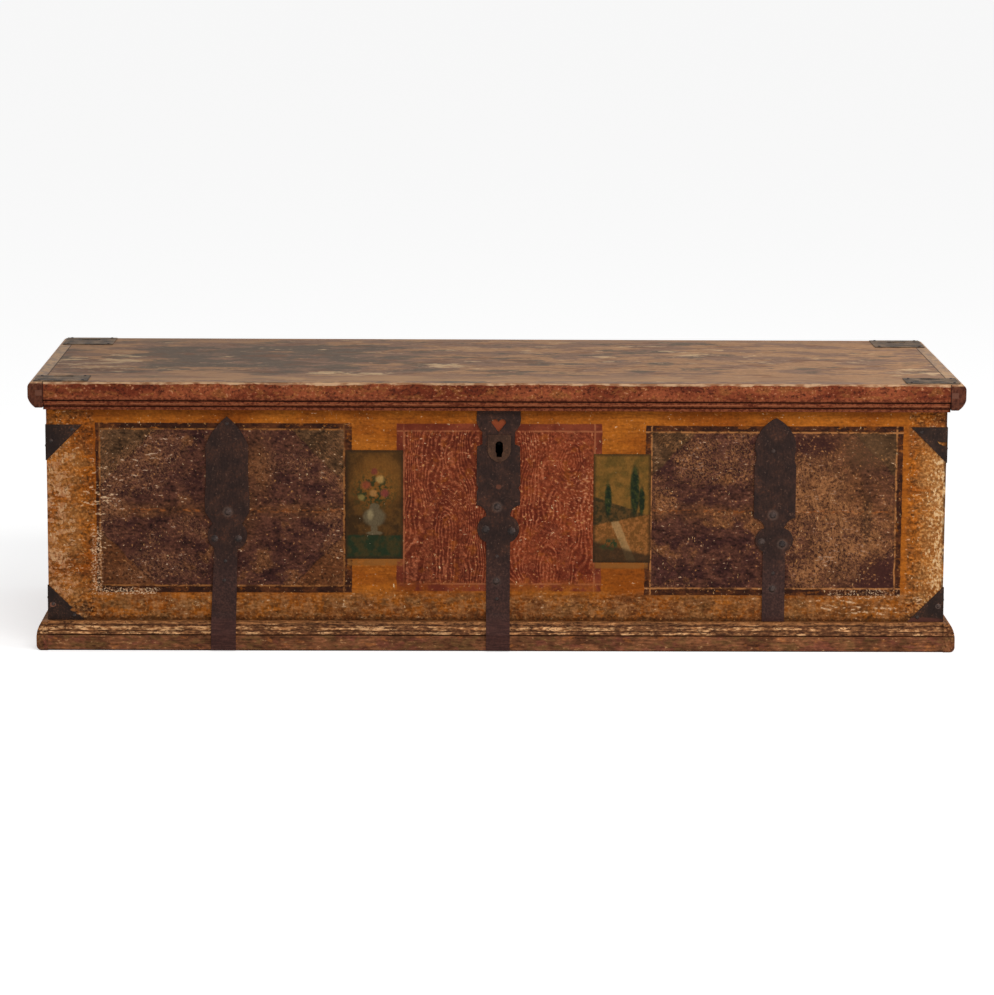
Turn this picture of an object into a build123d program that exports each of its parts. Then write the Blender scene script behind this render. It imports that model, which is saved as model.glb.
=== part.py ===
from build123d import *
import os

# Long, low painted board chest with wrought-iron bands, an inside lock and a strap-hinged lid.
# Millimetres. The origin is at the centre of the overall footprint, on the floor.
# +X runs to the right along the front, -Y faces out of the front, +Z is up.
os.makedirs("parts", exist_ok=True)

# ---------------------------------------------------------------- box
BODY_LENGTH = 1550.0
BODY_DEPTH = 570.0
JOINT_HEIGHT = 445.0  # top edge of the walls, where the lid rests
WALL = 25.0  # front and back boards
END_WALL = 25.0
BOTTOM_THICKNESS = 20.0
BOTTOM_BOARD_COUNT = 3
SHRINKAGE_GAP = 1.5  # between the bottom boards

# Dovetails: lapped at the front, through at the back
TAIL_COUNT = 5
PIN_WIDTH = 16.0  # a pin at its narrow end
TAIL_SLOPE = 1 / 6
FRONT_LAP = 7.0  # wood left in front of the tails
SOCKET_CLEARANCE = 0.1

# ---------------------------------------------------------------- lid
LID_THICKNESS = 25.0
LID_PLANK_COUNT = 3
LID_GAP = 3.0  # between the walls and the moulding that hangs over them
LID_MOULDING_THICKNESS = 25.0
LID_MOULDING_HEIGHT = 50.0
LID_FASCIA = 32.0  # flat upper band of the moulding
LID_ARRIS = 3.0  # worn top edge
LID_END_ARRIS = 10.0  # the end mouldings are worn rounder
LID_END_CHAMFER_OUT = 13.0
LID_END_CHAMFER_HEIGHT = 18.0
LID_END_CHAMFER_BULGE = 30.0  # radius of the chamfer's slight swell
LID_FOOT = 11.0  # thickness left at the moulding's lower edge
LID_FOOT_RISE = 5.0  # height of the small member at that edge
LID_OVOLO_RADIUS = 9.0
TONGUE_LENGTH = 12.0  # front moulding's tongue in the end mouldings
TONGUE_HEIGHT = 9.5
TONGUE_LEVEL = 19.5  # tongue's middle, below the lid's top
TONGUE_CLEARANCE = 0.2

# ---------------------------------------------------------------- plinth
PLINTH_HEIGHT = 50.0
PLINTH_PROUD = 20.0
PLINTH_TOP = 11.0  # how far the sloping upper member stands out at its top
PLINTH_GROOVE_LEVEL = 28.0
GROOVE = 2.0  # depth and width of a moulding's groove
PLINTH_FOOT_ROUND = 3.0
PLINTH_END_ROUND = 9.0  # lower corner of the end pieces
PLINTH_END_FLAT = 22.0  # height where their swell begins
PLINTH_END_SWELL = 48.5  # radius of that swell

# ---------------------------------------------------------------- nails
NAIL_SHANK = 1.7  # half the width of a square shank
NAIL_CLEARANCE = 0.05
NAIL_LENGTH = 20.0
NAIL_TIP = 0.5  # a pilot hole goes this much deeper than its nail
HEAD_SIDES = 8  # hammered facets of a head
HEAD_RISE = 0.45  # height of a head over its radius
FACET_LEAN = 48.0  # degrees in from the nail's own direction
BIG_HEAD = 7.5
HEAD = 6.5
SMALL_HEAD = 3.5
BRAD_HEAD = 4.0  # half the width of a square head
BRAD_HEAD_THICKNESS = 1.5
BRAD_LENGTH = 45.0

# ---------------------------------------------------------------- iron bands
BAND_THICKNESS = 2.5
LEFT_BAND_X = -465.0
CENTRE_BAND_X = 2.5
RIGHT_BAND_X = 480.0
SIDE_BAND_DROP = 13.0  # tips of the side bands below the lid's moulding
CENTRE_BAND_LIFT = 12.0  # the centre band goes on up behind the moulding
LEFT_STRAP_HALF = 21.5
LEFT_STRAP_TOP_HALF = 20.0
LEFT_STRAP_LEAN = (2.5, 7.0)  # middle of its top and of its lower end, left of the band's middle line
CENTRE_STRAP_HALF = 20.5
RIGHT_STRAP_HALF = 19.5
BULGE_LENGTH = 34.0  # height of the eared part that takes a pair of nails
STRAP_BEND = 14.0  # where a strap leaves the wall above the plinth
STRAP_FOOT = 1.0  # height of a strap's lower end above the floor
PLINTH_FIT = 0.3  # between a bent strap and the plinth under it

# ---------------------------------------------------------------- keyhole, shield and heart
KEY_X = 3.5
KEY_DROP = 86.0  # axis of the key below the walls' top
KEYHOLE_RADIUS = 6.5
KEYHOLE_SLOT = 9.2
KEYHOLE_CHEEK = 11.0  # how far the hole keeps its full width below the key's axis
KEYHOLE_NECK = 16.0  # where it has drawn in to the slot
KEYHOLE_DROP = 21.0  # slot's lower end below the key's axis
SHIELD_HALF = 20.0
SHIELD_RISE = 18.0  # shield's flat top above the key's axis
SHIELD_STRAIGHT = 4.0  # its sides curve in from here, below the key's axis
SHIELD_DROP = 30.0
SHIELD_THICKNESS = 1.5
HEART_DROP = 16.0  # heart's shoulders below the lid's moulding
HEART_HALF = 12.5
HEART_DIP = 5.0
HEART_CHEEK = 7.0  # where its sides start to run in to the point, below its shoulders
HEART_LENGTH = 23.0

# ---------------------------------------------------------------- corner plates on the box
CORNER_LEG = 62.0
CORNER_THICKNESS = 1.5
CORNER_DROP = 28.0  # upper plates below the lid's moulding
CORNER_NAIL_EDGE = 8.0
CORNER_NAIL_REACH = 28.0
CORNER_NAIL_STAGGER = 10.0  # the nails in an end stand this much further from the plate's edge
CORNER_NAIL_LENGTH = 14.0
# Tear that a lost nail has left in the upper right plate: in from the box's corner, below the plate's top
TEAR = [(-1.0, 25.5), (8.0, 26.0), (17.0, 24.0), (13.0, 29.0), (6.0, 32.0), (-1.0, 33.0)]

# ---------------------------------------------------------------- irons on the lid
LID_IRON_LENGTH = 92.0
LID_IRON_DEPTHS = {"front": 68.0, "back": 98.0}
LID_IRON_THICKNESS = 1.5
LID_IRON_SETBACK = 10.0  # from the lid's ends
LID_IRON_MARGINS = {"front": 3.5, "back": 5.0}  # from the lid's long edges
LID_IRON_SLOT = 36.0
LID_IRON_SLOT_WIDTH = 10.0
LID_IRON_SLOT_INSETS = {"front": 11.0, "back": 32.0}  # slot's middle, from the iron's rear edge
LID_IRON_NAIL_INSET = 9.0
LID_NAIL_LENGTH = 12.0

# ---------------------------------------------------------------- hinges
HINGE_X = 470.0
PIN_RADIUS = 3.0
PIN_CLEARANCE = 0.06
PIN_HEAD = 4.6
PIN_HEAD_THICKNESS = 2.0
KNUCKLE_RADIUS = 6.5
KNUCKLE_LENGTH = 14.0
KNUCKLE_GAP = 0.4
LEAF_THICKNESS = 3.0
LEAF_DROP = 110.0  # the leaf nailed to the back
LEAF_POINT = 12.0
STRAP_LENGTH = 380.0  # the strap under the lid
STRAP_TAPER = 26.0  # its width at the far end
STRAP_POINT = 30.0
HINGE_CLEARANCE = 0.3
HINGE_NAIL_LENGTH = 18.0
STRAP_NAIL_COUNT = 4
STRAP_NAIL_FIRST = 50.0  # from the back face
STRAP_NAIL_PITCH = 92.0
LEAF_NAIL_COUNT = 3
LEAF_NAIL_FIRST = 26.0
LEAF_NAIL_PITCH = 34.0

# ---------------------------------------------------------------- lock on the inner face of the front
LOCK_HALF = 75.0
LOCK_RISE = 75.0  # plate's top above the key's axis
LOCK_DROP = 41.0
LOCK_PLATE = 2.0
LOCK_CLIP = 10.0  # clipped corners
LOCK_NAIL_EDGE = 9.0
LOCK_NAIL_LENGTH = 16.0
BOLT_LENGTH = 90.0
BOLT_HEIGHT = 14.0
BOLT_THICKNESS = 6.0
BOLT_RISE = 19.0  # underside of the bolt above the key's axis
BOLT_STANDOFF = 11.0  # from the lock plate to the bolt
BOLT_NOSE = 40.0  # end of the drawn-back bolt, from the key's axis
BOLT_CLEARANCE = 0.15
NOSE_CHAMFER = 1.5
TALON_WIDTH = 13.0
TALON_DEPTH = 5.0
KEEPER_OFFSET = 32.0  # keeper's middle, from the key's axis
KEEPER_WIDTH = 8.0
KEEPER_WALL = 4.0
DRILL_PIN_RADIUS = 2.5
DRILL_PIN_REACH = 12.0  # how far the drill pin reaches into the front board
DRILL_PIN_HEAD = 5.0
DRILL_PIN_HEAD_THICKNESS = 2.0
BRIDGE_HALF = 25.0
BRIDGE_HEIGHT = 16.0
BRIDGE_THICKNESS = 2.5
BRIDGE_DEPTH = 22.0
BRIDGE_FOOT = 12.0
SPRING_THICKNESS = 1.2
SPRING_WIDTH = 6.0
SPRING_SPAN = 40.0
SPRING_RISE = 9.0  # height of the spring's root above its tip
SPRING_SEAT = 0.3
STUD_RADIUS = 4.0

# ---------------------------------------------------------------- staple under the lid
STAPLE_OFFSET = 47.0  # staple's middle, from the key's axis
STAPLE_THICKNESS = 5.0
STAPLE_WALL = 4.0  # iron in front of, behind and below the eye
STAPLE_EYE_CLEARANCE = 1.5
STAPLE_BASE_LENGTH = 46.0
STAPLE_BASE_DEPTH = 26.0
STAPLE_BASE_THICKNESS = 2.5
STAPLE_NAIL_INSET = 6.0
STAPLE_NAIL_LENGTH = 14.0

# ---------------------------------------------------------------- pasted prints
PRINT_LEFT_X = -211.5
PRINT_RIGHT_X = 216.0
PRINT_WIDTH = 99.0
PRINT_HEIGHT = 190.0
PRINT_LEFT_MIDDLE = 254.0  # height of the sheet's middle
PRINT_RIGHT_MIDDLE = 248.5
PAPER = 0.4

# ================================================================ places worked out from the sizes
LID_OVERHANG = LID_GAP + LID_MOULDING_THICKNESS
HINGE_PROUD = 2 * KNUCKLE_RADIUS + HINGE_CLEARANCE
TOTAL_DEPTH = LID_OVERHANG + BODY_DEPTH + HINGE_PROUD
FRONT = LID_OVERHANG - TOTAL_DEPTH / 2  # outer face of the front board
BACK = FRONT + BODY_DEPTH
INSIDE = FRONT + WALL  # inner face of the front board
HALF_BODY = BODY_LENGTH / 2
LID_BOARD_HALF = HALF_BODY + LID_GAP
LID_TOP = JOINT_HEIGHT + LID_THICKNESS
LID_EDGE = LID_TOP - LID_MOULDING_HEIGHT  # lower edge of the lid's moulding
WALL_HEIGHT = JOINT_HEIGHT - BOTTOM_THICKNESS
TAIL_PITCH = WALL_HEIGHT / TAIL_COUNT
TAIL_WIDTH = TAIL_PITCH - PIN_WIDTH
KEY_HEIGHT = JOINT_HEIGHT - KEY_DROP
BOLT_FOOT = KEY_HEIGHT + BOLT_RISE
BOLT_FRONT = INSIDE + LOCK_PLATE + BOLT_STANDOFF
HINGE_Y = BACK + KNUCKLE_RADIUS + HINGE_CLEARANCE
HINGE_Z = JOINT_HEIGHT - KNUCKLE_RADIUS
LEAF_WIDTH = 3 * KNUCKLE_LENGTH + 2 * KNUCKLE_GAP
NAIL_HOLE = 2 * (NAIL_SHANK + NAIL_CLEARANCE)
SIDES = {"left": -1, "right": 1}


def front_plane(x, y=FRONT):
    """Upright plane that faces out of the front: local x along the chest, local y up."""
    return Plane((x, y, 0), x_dir=(1, 0, 0), z_dir=(0, -1, 0))


def side_plane(side):
    """Upright plane on an end's outer face: local x towards the back, local y up."""
    return Plane((side * HALF_BODY, FRONT, 0), x_dir=(0, 1, 0), z_dir=(1, 0, 0))


def tail(root, tip, middle, clearance=0.0):
    """One dovetail in depth and height: narrow at its root, wide at its tip."""
    half_tip = TAIL_WIDTH / 2 + clearance
    half_root = half_tip - abs(tip - root) * TAIL_SLOPE
    return Polygon(
        (root, middle - half_root),
        (tip, middle - half_tip),
        (tip, middle + half_tip),
        (root, middle + half_root),
        align=None,
    )


def tail_middles():
    """Heights of the dovetails' middles up a corner."""
    return [BOTTOM_THICKNESS + TAIL_PITCH * (i + 0.5) for i in range(TAIL_COUNT)]


def nail(length, head):
    """A forged nail along -Z: a square shank, and a faceted head above the origin."""
    with BuildPart() as one_nail:
        with BuildSketch(Plane.XY):
            Rectangle(2 * NAIL_SHANK, 2 * NAIL_SHANK)
        extrude(amount=-length)
        with BuildSketch(Plane.XY):
            RegularPolygon(head, HEAD_SIDES)
        extrude(amount=head * HEAD_RISE, taper=FACET_LEAN)
    return one_nail.part


def drive(spots, outward, length):
    """Nails at (point, head radius) spots, with their heads towards outward."""
    with BuildPart() as driven:
        for point, head in spots:
            one_nail = nail(length, head)
            with Locations(Plane(point, z_dir=outward).location):
                add(one_nail)
    return driven.part


def pilot_holes(plane, points, depth):
    """Shapes of the square blind holes for nail shanks, going in from a plane."""
    with BuildPart() as punch:
        with BuildSketch(plane):
            with Locations(*points):
                Rectangle(NAIL_HOLE, NAIL_HOLE)
        extrude(amount=-depth)
    return punch.part


# ================================================================ keyhole
def keyhole(mode):
    """The keyhole, in the current sketch, whose local x is 0 on the key's axis."""
    with Locations((0, KEY_HEIGHT)):
        Circle(KEYHOLE_RADIUS, mode=mode)
    half = KEYHOLE_SLOT / 2
    cheek, neck, foot = (KEY_HEIGHT - drop for drop in (KEYHOLE_CHEEK, KEYHOLE_NECK, KEYHOLE_DROP))
    side = [(KEYHOLE_RADIUS, KEY_HEIGHT), (KEYHOLE_RADIUS, cheek), (half, neck), (half, foot)]
    Polygon(*side, *[(-x, z) for x, z in reversed(side)], align=None, mode=mode)


# ================================================================ fastener places
# Across a band from its middle line, down from the lid's moulding, radius of the head
UPPER_BAND_NAILS = {
    "left": [(0, 25, SMALL_HEAD), (1, 179, HEAD), (-22, 226, HEAD), (19, 226, HEAD)],
    "centre": [(-2, 169, HEAD), (-22, 209, BIG_HEAD), (23, 212, BIG_HEAD)],
    "right": [(-4, 70, SMALL_HEAD), (-3, 182, HEAD), (-22, 229, HEAD), (14, 233, HEAD)],
}
# Across a band from its middle line, share of the way down its plain strap, radius of the head
STRAP_BAND_NAILS = {
    "left": [(-4, 0.2, SMALL_HEAD), (-6, 0.5, SMALL_HEAD)],
    "centre": [(-2, 0.2, SMALL_HEAD), (-3, 0.55, HEAD), (-2, 0.8, SMALL_HEAD)],
    "right": [(-1, 0.35, SMALL_HEAD), (-2, 0.6, HEAD)],
}
BAND_X = {"left": LEFT_BAND_X, "centre": CENTRE_BAND_X, "right": RIGHT_BAND_X}
EARS = {"left": 226.0, "centre": 214.0, "right": 229.0}  # middle of the ears below the moulding


def band_nails(name):
    """Across the chest, height and head radius of every nail of a band."""
    strap_top = LID_EDGE - EARS[name] - BULGE_LENGTH / 2
    strap = strap_top - PLINTH_HEIGHT - STRAP_BEND
    middle = BAND_X[name]
    spots = [(middle + x, LID_EDGE - drop, head) for x, drop, head in UPPER_BAND_NAILS[name]]
    spots += [(middle + x, strap_top - share * strap, head) for x, share, head in STRAP_BAND_NAILS[name]]
    return spots


CORNER_LEVELS = {"top": (LID_EDGE - CORNER_DROP, -1), "bottom": (PLINTH_HEIGHT, 1)}


def corner_nails(level, stagger=0.0):
    """In from the box's corner and height, for the nails in one face of a corner plate."""
    edge, turn = CORNER_LEVELS[level]
    return [
        (CORNER_NAIL_EDGE, edge + turn * (CORNER_NAIL_REACH + stagger)),
        (CORNER_NAIL_REACH + 2 * CORNER_NAIL_EDGE, edge + turn * CORNER_NAIL_EDGE),
    ]


# The upper right plate has torn away round its nail nearest to the corner
TORN_SPOT = (HALF_BODY - CORNER_NAIL_EDGE, corner_nails("top")[0][1])
CORNER_FRONT_SPOTS = [
    (side * (HALF_BODY - reach), z)
    for side in SIDES.values()
    for level in CORNER_LEVELS
    for reach, z in corner_nails(level)
]
CORNER_FRONT_SPOTS.remove(TORN_SPOT)
CORNER_END_SPOTS = [spot for level in CORNER_LEVELS for spot in corner_nails(level, CORNER_NAIL_STAGGER)]
LOCK_NAIL_IN = LOCK_CLIP + LOCK_NAIL_EDGE
LOCK_SPOTS = [
    (KEY_X + turn * (LOCK_HALF - LOCK_NAIL_EDGE), z)
    for turn in (-1, 1)
    for z in (KEY_HEIGHT - LOCK_DROP + LOCK_NAIL_IN, KEY_HEIGHT + LOCK_RISE - LOCK_NAIL_IN)
]
BRIDGE_SPOTS = [(KEY_X + turn * (BRIDGE_HALF + BRIDGE_FOOT / 2), KEY_HEIGHT) for turn in (-1, 1)]
STRAP_SPOTS = [
    (side * HINGE_X, BACK - STRAP_NAIL_FIRST - STRAP_NAIL_PITCH * i)
    for side in SIDES.values()
    for i in range(STRAP_NAIL_COUNT)
]
LEAF_SPOTS = [
    (side * HINGE_X, HINGE_Z - LEAF_NAIL_FIRST - LEAF_NAIL_PITCH * i)
    for side in SIDES.values()
    for i in range(LEAF_NAIL_COUNT)
]
STAPLE_X = KEY_X + STAPLE_OFFSET
STAPLE_Y = BOLT_FRONT + BOLT_THICKNESS / 2
STAPLE_SPOTS = [
    (STAPLE_X + sx * (STAPLE_BASE_LENGTH / 2 - STAPLE_NAIL_INSET), STAPLE_Y + sy * STAPLE_NAIL_INSET)
    for sx in (-1, 1)
    for sy in (-1, 1)
]

# ================================================================ box
BAND_PILOT = NAIL_LENGTH - BAND_THICKNESS + NAIL_TIP
CORNER_PILOT = CORNER_NAIL_LENGTH - CORNER_THICKNESS + NAIL_TIP
corner_pilots = [pilot_holes(front_plane(0), CORNER_FRONT_SPOTS, CORNER_PILOT)]
for side in SIDES.values():
    corner_pilots.append(pilot_holes(side_plane(side), CORNER_END_SPOTS, side * CORNER_PILOT))

with BuildPart() as front_board:
    with BuildSketch(front_plane(0)):
        with Locations((0, BOTTOM_THICKNESS + WALL_HEIGHT / 2)):
            Rectangle(BODY_LENGTH, WALL_HEIGHT)
    extrude(amount=-WALL)
    # Sockets for the end boards' tails, stopped short of the front face
    for side in SIDES.values():
        with BuildSketch(Plane.YZ.offset(side * HALF_BODY)):
            for middle in tail_middles():
                tail(INSIDE, FRONT + FRONT_LAP, middle, SOCKET_CLEARANCE)
        extrude(amount=-side * END_WALL, mode=Mode.SUBTRACT)
    # Keyhole right through
    with BuildSketch(front_plane(KEY_X)):
        keyhole(Mode.ADD)
    extrude(amount=-WALL, mode=Mode.SUBTRACT)
    for name in BAND_X:
        spots = [(x, z) for x, z, head in band_nails(name)]
        add(pilot_holes(front_plane(0), spots, BAND_PILOT), mode=Mode.SUBTRACT)
    for holes in corner_pilots:
        add(holes, mode=Mode.SUBTRACT)
    lock_pilot = LOCK_NAIL_LENGTH - LOCK_PLATE + NAIL_TIP
    add(pilot_holes(front_plane(0, INSIDE), LOCK_SPOTS + BRIDGE_SPOTS, -lock_pilot), mode=Mode.SUBTRACT)
front_board.part.label = "front_board"
export_step(front_board.part, "parts/front_board.step")

STRAP_NOTCH = LEAF_WIDTH + 2 * HINGE_CLEARANCE
with BuildPart() as back_board:
    with BuildSketch(front_plane(0, BACK)):
        with Locations((0, BOTTOM_THICKNESS + WALL_HEIGHT / 2)):
            Rectangle(BODY_LENGTH, WALL_HEIGHT)
    extrude(amount=WALL)
    # Sockets right through for the end boards' tails
    for side in SIDES.values():
        with BuildSketch(Plane.YZ.offset(side * HALF_BODY)):
            for middle in tail_middles():
                tail(BACK - WALL, BACK, middle, SOCKET_CLEARANCE)
        extrude(amount=-side * END_WALL, mode=Mode.SUBTRACT)
    # Notches in the top edge for the lid's straps
    with BuildSketch(front_plane(0, BACK)):
        with Locations((-HINGE_X, JOINT_HEIGHT), (HINGE_X, JOINT_HEIGHT)):
            Rectangle(STRAP_NOTCH, 2 * (LEAF_THICKNESS + HINGE_CLEARANCE))
    extrude(amount=WALL, mode=Mode.SUBTRACT)
    leaf_pilot = HINGE_NAIL_LENGTH - LEAF_THICKNESS + NAIL_TIP
    add(pilot_holes(front_plane(0, BACK), LEAF_SPOTS, -leaf_pilot), mode=Mode.SUBTRACT)
back_board.part.label = "back_board"
export_step(back_board.part, "parts/back_board.step")

# Bottom nails: two through each bottom board into each end board
BOTTOM_BOARD_WIDTH = (BODY_DEPTH - (BOTTOM_BOARD_COUNT - 1) * SHRINKAGE_GAP) / BOTTOM_BOARD_COUNT
BOTTOM_BOARD_PITCH = BOTTOM_BOARD_WIDTH + SHRINKAGE_GAP
BRAD_X = HALF_BODY - END_WALL / 2
BRAD_SPREAD = BOTTOM_BOARD_WIDTH / 2 - 2 * WALL


def bottom_middle(i):
    """Depth of the middle of a bottom board, counted from the front."""
    return FRONT + BOTTOM_BOARD_WIDTH / 2 + BOTTOM_BOARD_PITCH * i


def brad_spots(i):
    """Places of the nails through one bottom board."""
    return [(sx * BRAD_X, bottom_middle(i) + sy * BRAD_SPREAD) for sx in (-1, 1) for sy in (-1, 1)]


def brads(spots, clearance=0.0):
    """Flat-headed nails driven up from the floor side, flush with it."""
    with BuildPart() as driven:
        with BuildSketch(Plane.XY):
            with Locations(*spots):
                Rectangle(2 * (BRAD_HEAD + clearance), 2 * (BRAD_HEAD + clearance))
        extrude(amount=BRAD_HEAD_THICKNESS)
        with BuildSketch(Plane.XY):
            with Locations(*spots):
                Rectangle(2 * (NAIL_SHANK + clearance), 2 * (NAIL_SHANK + clearance))
        extrude(amount=BRAD_LENGTH + clearance)
    return driven.part


ALL_BRADS = [spot for i in range(BOTTOM_BOARD_COUNT) for spot in brad_spots(i)]
for name, side in SIDES.items():
    with BuildPart() as end_board:
        with BuildSketch(Plane.YZ.offset(side * HALF_BODY)):
            with Locations(((INSIDE + BACK - WALL) / 2, BOTTOM_THICKNESS + WALL_HEIGHT / 2)):
                Rectangle(BODY_DEPTH - 2 * WALL, WALL_HEIGHT)
            for middle in tail_middles():
                tail(INSIDE, FRONT + FRONT_LAP + SOCKET_CLEARANCE, middle)
                tail(BACK - WALL, BACK, middle)
        extrude(amount=-side * END_WALL)
        for holes in corner_pilots:
            add(holes, mode=Mode.SUBTRACT)
        add(brads(ALL_BRADS, NAIL_CLEARANCE), mode=Mode.SUBTRACT)
    end_board.part.label = f"end_board_{name}"
    export_step(end_board.part, f"parts/end_board_{name}.step")

for i in range(BOTTOM_BOARD_COUNT):
    with BuildPart() as bottom_board:
        with BuildSketch(Plane.XY):
            with Locations((0, bottom_middle(i))):
                Rectangle(BODY_LENGTH, BOTTOM_BOARD_WIDTH)
        extrude(amount=BOTTOM_THICKNESS)
        add(brads(brad_spots(i), NAIL_CLEARANCE), mode=Mode.SUBTRACT)
    bottom_board.part.label = f"bottom_board_{i + 1}"
    export_step(bottom_board.part, f"parts/bottom_board_{i + 1}.step")

with BuildPart() as bottom_nails:
    add(brads(ALL_BRADS))
bottom_nails.part.label = "bottom_nails"
export_step(bottom_nails.part, "parts/bottom_nails.step")


# ================================================================ plinth
def plinth_section():
    """The plinth's section: out from the wall, and height."""
    groove_foot = PLINTH_GROOVE_LEVEL - GROOVE / 2
    groove_top = PLINTH_GROOVE_LEVEL + GROOVE / 2
    with BuildSketch() as section:
        with BuildLine():
            Polyline((0, PLINTH_HEIGHT), (0, 0), (PLINTH_PROUD - PLINTH_FOOT_ROUND, 0))
            RadiusArc(
                (PLINTH_PROUD - PLINTH_FOOT_ROUND, 0), (PLINTH_PROUD, PLINTH_FOOT_ROUND), -PLINTH_FOOT_ROUND
            )
            Polyline(
                (PLINTH_PROUD, PLINTH_FOOT_ROUND),
                (PLINTH_PROUD, groove_foot),
                (PLINTH_PROUD - GROOVE, groove_foot),
                (PLINTH_PROUD - GROOVE, groove_top),
                (PLINTH_PROUD, groove_top),
                (PLINTH_TOP, PLINTH_HEIGHT),
                (0, PLINTH_HEIGHT),
            )
        make_face()
    return section.sketch


def plinth_end_section():
    """The end pieces' section: out from the wall, and height."""
    flat_foot = (PLINTH_PROUD, PLINTH_END_ROUND)
    flat_top = (PLINTH_PROUD, PLINTH_END_FLAT)
    with BuildSketch() as section:
        with BuildLine():
            foot = (PLINTH_PROUD - PLINTH_END_ROUND, 0)
            Polyline((PLINTH_TOP, PLINTH_HEIGHT), (0, PLINTH_HEIGHT), (0, 0), foot)
            RadiusArc(foot, flat_foot, -PLINTH_END_ROUND)
            Line(flat_foot, flat_top)
            RadiusArc(flat_top, (PLINTH_TOP, PLINTH_HEIGHT), -PLINTH_END_SWELL)
        make_face()
    return section.sketch


with BuildPart() as plinth_front:
    with BuildSketch(Plane((HALF_BODY, FRONT, 0), x_dir=(0, -1, 0), z_dir=(-1, 0, 0))):
        add(plinth_section())
    extrude(amount=BODY_LENGTH)
plinth_front.part.label = "plinth_front"
export_step(plinth_front.part, "parts/plinth_front.step")

for name, side in SIDES.items():
    with BuildPart() as plinth_side:
        with BuildSketch(Plane((side * HALF_BODY, BACK, 0), x_dir=(side, 0, 0), z_dir=(0, -side, 0))):
            add(plinth_end_section())
        extrude(amount=side * (BODY_DEPTH + PLINTH_PROUD))
    plinth_side.part.label = f"plinth_{name}"
    export_step(plinth_side.part, f"parts/plinth_{name}.step")


# ================================================================ iron bands on the front
def strap_over_plinth(x, half):
    """The bent lower end of a band: out over the plinth and down its face."""
    inner = [
        (0, PLINTH_HEIGHT + STRAP_BEND),
        (PLINTH_TOP + PLINTH_FIT, PLINTH_HEIGHT),
        (PLINTH_PROUD + PLINTH_FIT, PLINTH_GROOVE_LEVEL + GROOVE / 2),
        (PLINTH_PROUD + PLINTH_FIT, STRAP_FOOT),
    ]
    outer = [(out + BAND_THICKNESS, height) for out, height in reversed(inner)]
    with BuildPart() as strap:
        with BuildSketch(Plane((x + half, FRONT, 0), x_dir=(0, -1, 0), z_dir=(-1, 0, 0))):
            Polygon(*inner, *outer, align=None)
        extrude(amount=2 * half)
    return strap.part


def strap_hole_cutter(name):
    """Shapes of the nail holes through one band."""
    spots = [(x, z) for x, z, head in band_nails(name)]
    return pilot_holes(front_plane(0, FRONT - BAND_THICKNESS), spots, BAND_THICKNESS)


with BuildPart() as band_left:
    with BuildSketch(front_plane(LEFT_BAND_X)):
        with BuildLine():
            tip = (0, LID_EDGE - SIDE_BAND_DROP)
            shoulder = (37.5, LID_EDGE - 66)
            lobe = (39, LID_EDGE - 158)
            heel = (38, LID_EDGE - 180)
            neck = (25, LID_EDGE - EARS["left"] + BULGE_LENGTH * 0.75)
            foot = (LEFT_STRAP_HALF, LID_EDGE - EARS["left"] - BULGE_LENGTH / 2)
            ThreePointArc(tip, (20.5, LID_EDGE - 34), shoulder)
            ThreePointArc(shoulder, (36.5, LID_EDGE - 120), lobe)
            Line(lobe, heel)
            Line(heel, neck)
            ThreePointArc(neck, (33.5, LID_EDGE - EARS["left"]), foot)
            Line(foot, (0, foot[1]))
            mirror(about=Plane.YZ)
        make_face()
        # The plain strap leans a little
        top_lean, foot_lean = LEFT_STRAP_LEAN
        strap_ends = (foot[1] + BULGE_LENGTH / 4, PLINTH_HEIGHT + STRAP_BEND)
        Polygon(
            (-LEFT_STRAP_TOP_HALF - top_lean, strap_ends[0]),
            (LEFT_STRAP_TOP_HALF - top_lean, strap_ends[0]),
            (LEFT_STRAP_HALF - foot_lean, strap_ends[1]),
            (-LEFT_STRAP_HALF - foot_lean, strap_ends[1]),
            align=None,
        )
    extrude(amount=BAND_THICKNESS)
    add(strap_over_plinth(LEFT_BAND_X - LEFT_STRAP_LEAN[1], LEFT_STRAP_HALF))
    add(strap_hole_cutter("left"), mode=Mode.SUBTRACT)
band_left.part.label = "band_left"
export_step(band_left.part, "parts/band_left.step")

with BuildPart() as band_right:
    with BuildSketch(front_plane(RIGHT_BAND_X)):
        with BuildLine():
            tip = (0, LID_EDGE - SIDE_BAND_DROP)
            shoulder = (36, LID_EDGE - 68)
            nick = (33, LID_EDGE - 82)
            side_top = (36, LID_EDGE - 96)
            heel = (36, LID_EDGE - 187)
            neck = (17, LID_EDGE - EARS["right"] + BULGE_LENGTH * 0.7)
            foot = (RIGHT_STRAP_HALF, LID_EDGE - EARS["right"] - BULGE_LENGTH / 2)
            ThreePointArc(tip, (28.5, LID_EDGE - 39), shoulder)
            ThreePointArc(shoulder, nick, side_top)
            Line(side_top, heel)
            ThreePointArc(heel, (22, LID_EDGE - 195), neck)
            ThreePointArc(neck, (32.5, LID_EDGE - EARS["right"]), foot)
            Polyline(foot, (RIGHT_STRAP_HALF, PLINTH_HEIGHT), (0, PLINTH_HEIGHT))
            mirror(about=Plane.YZ)
        make_face()
    extrude(amount=BAND_THICKNESS)
    add(strap_hole_cutter("right"), mode=Mode.SUBTRACT)
band_right.part.label = "band_right"
export_step(band_right.part, "parts/band_right.step")

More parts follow.
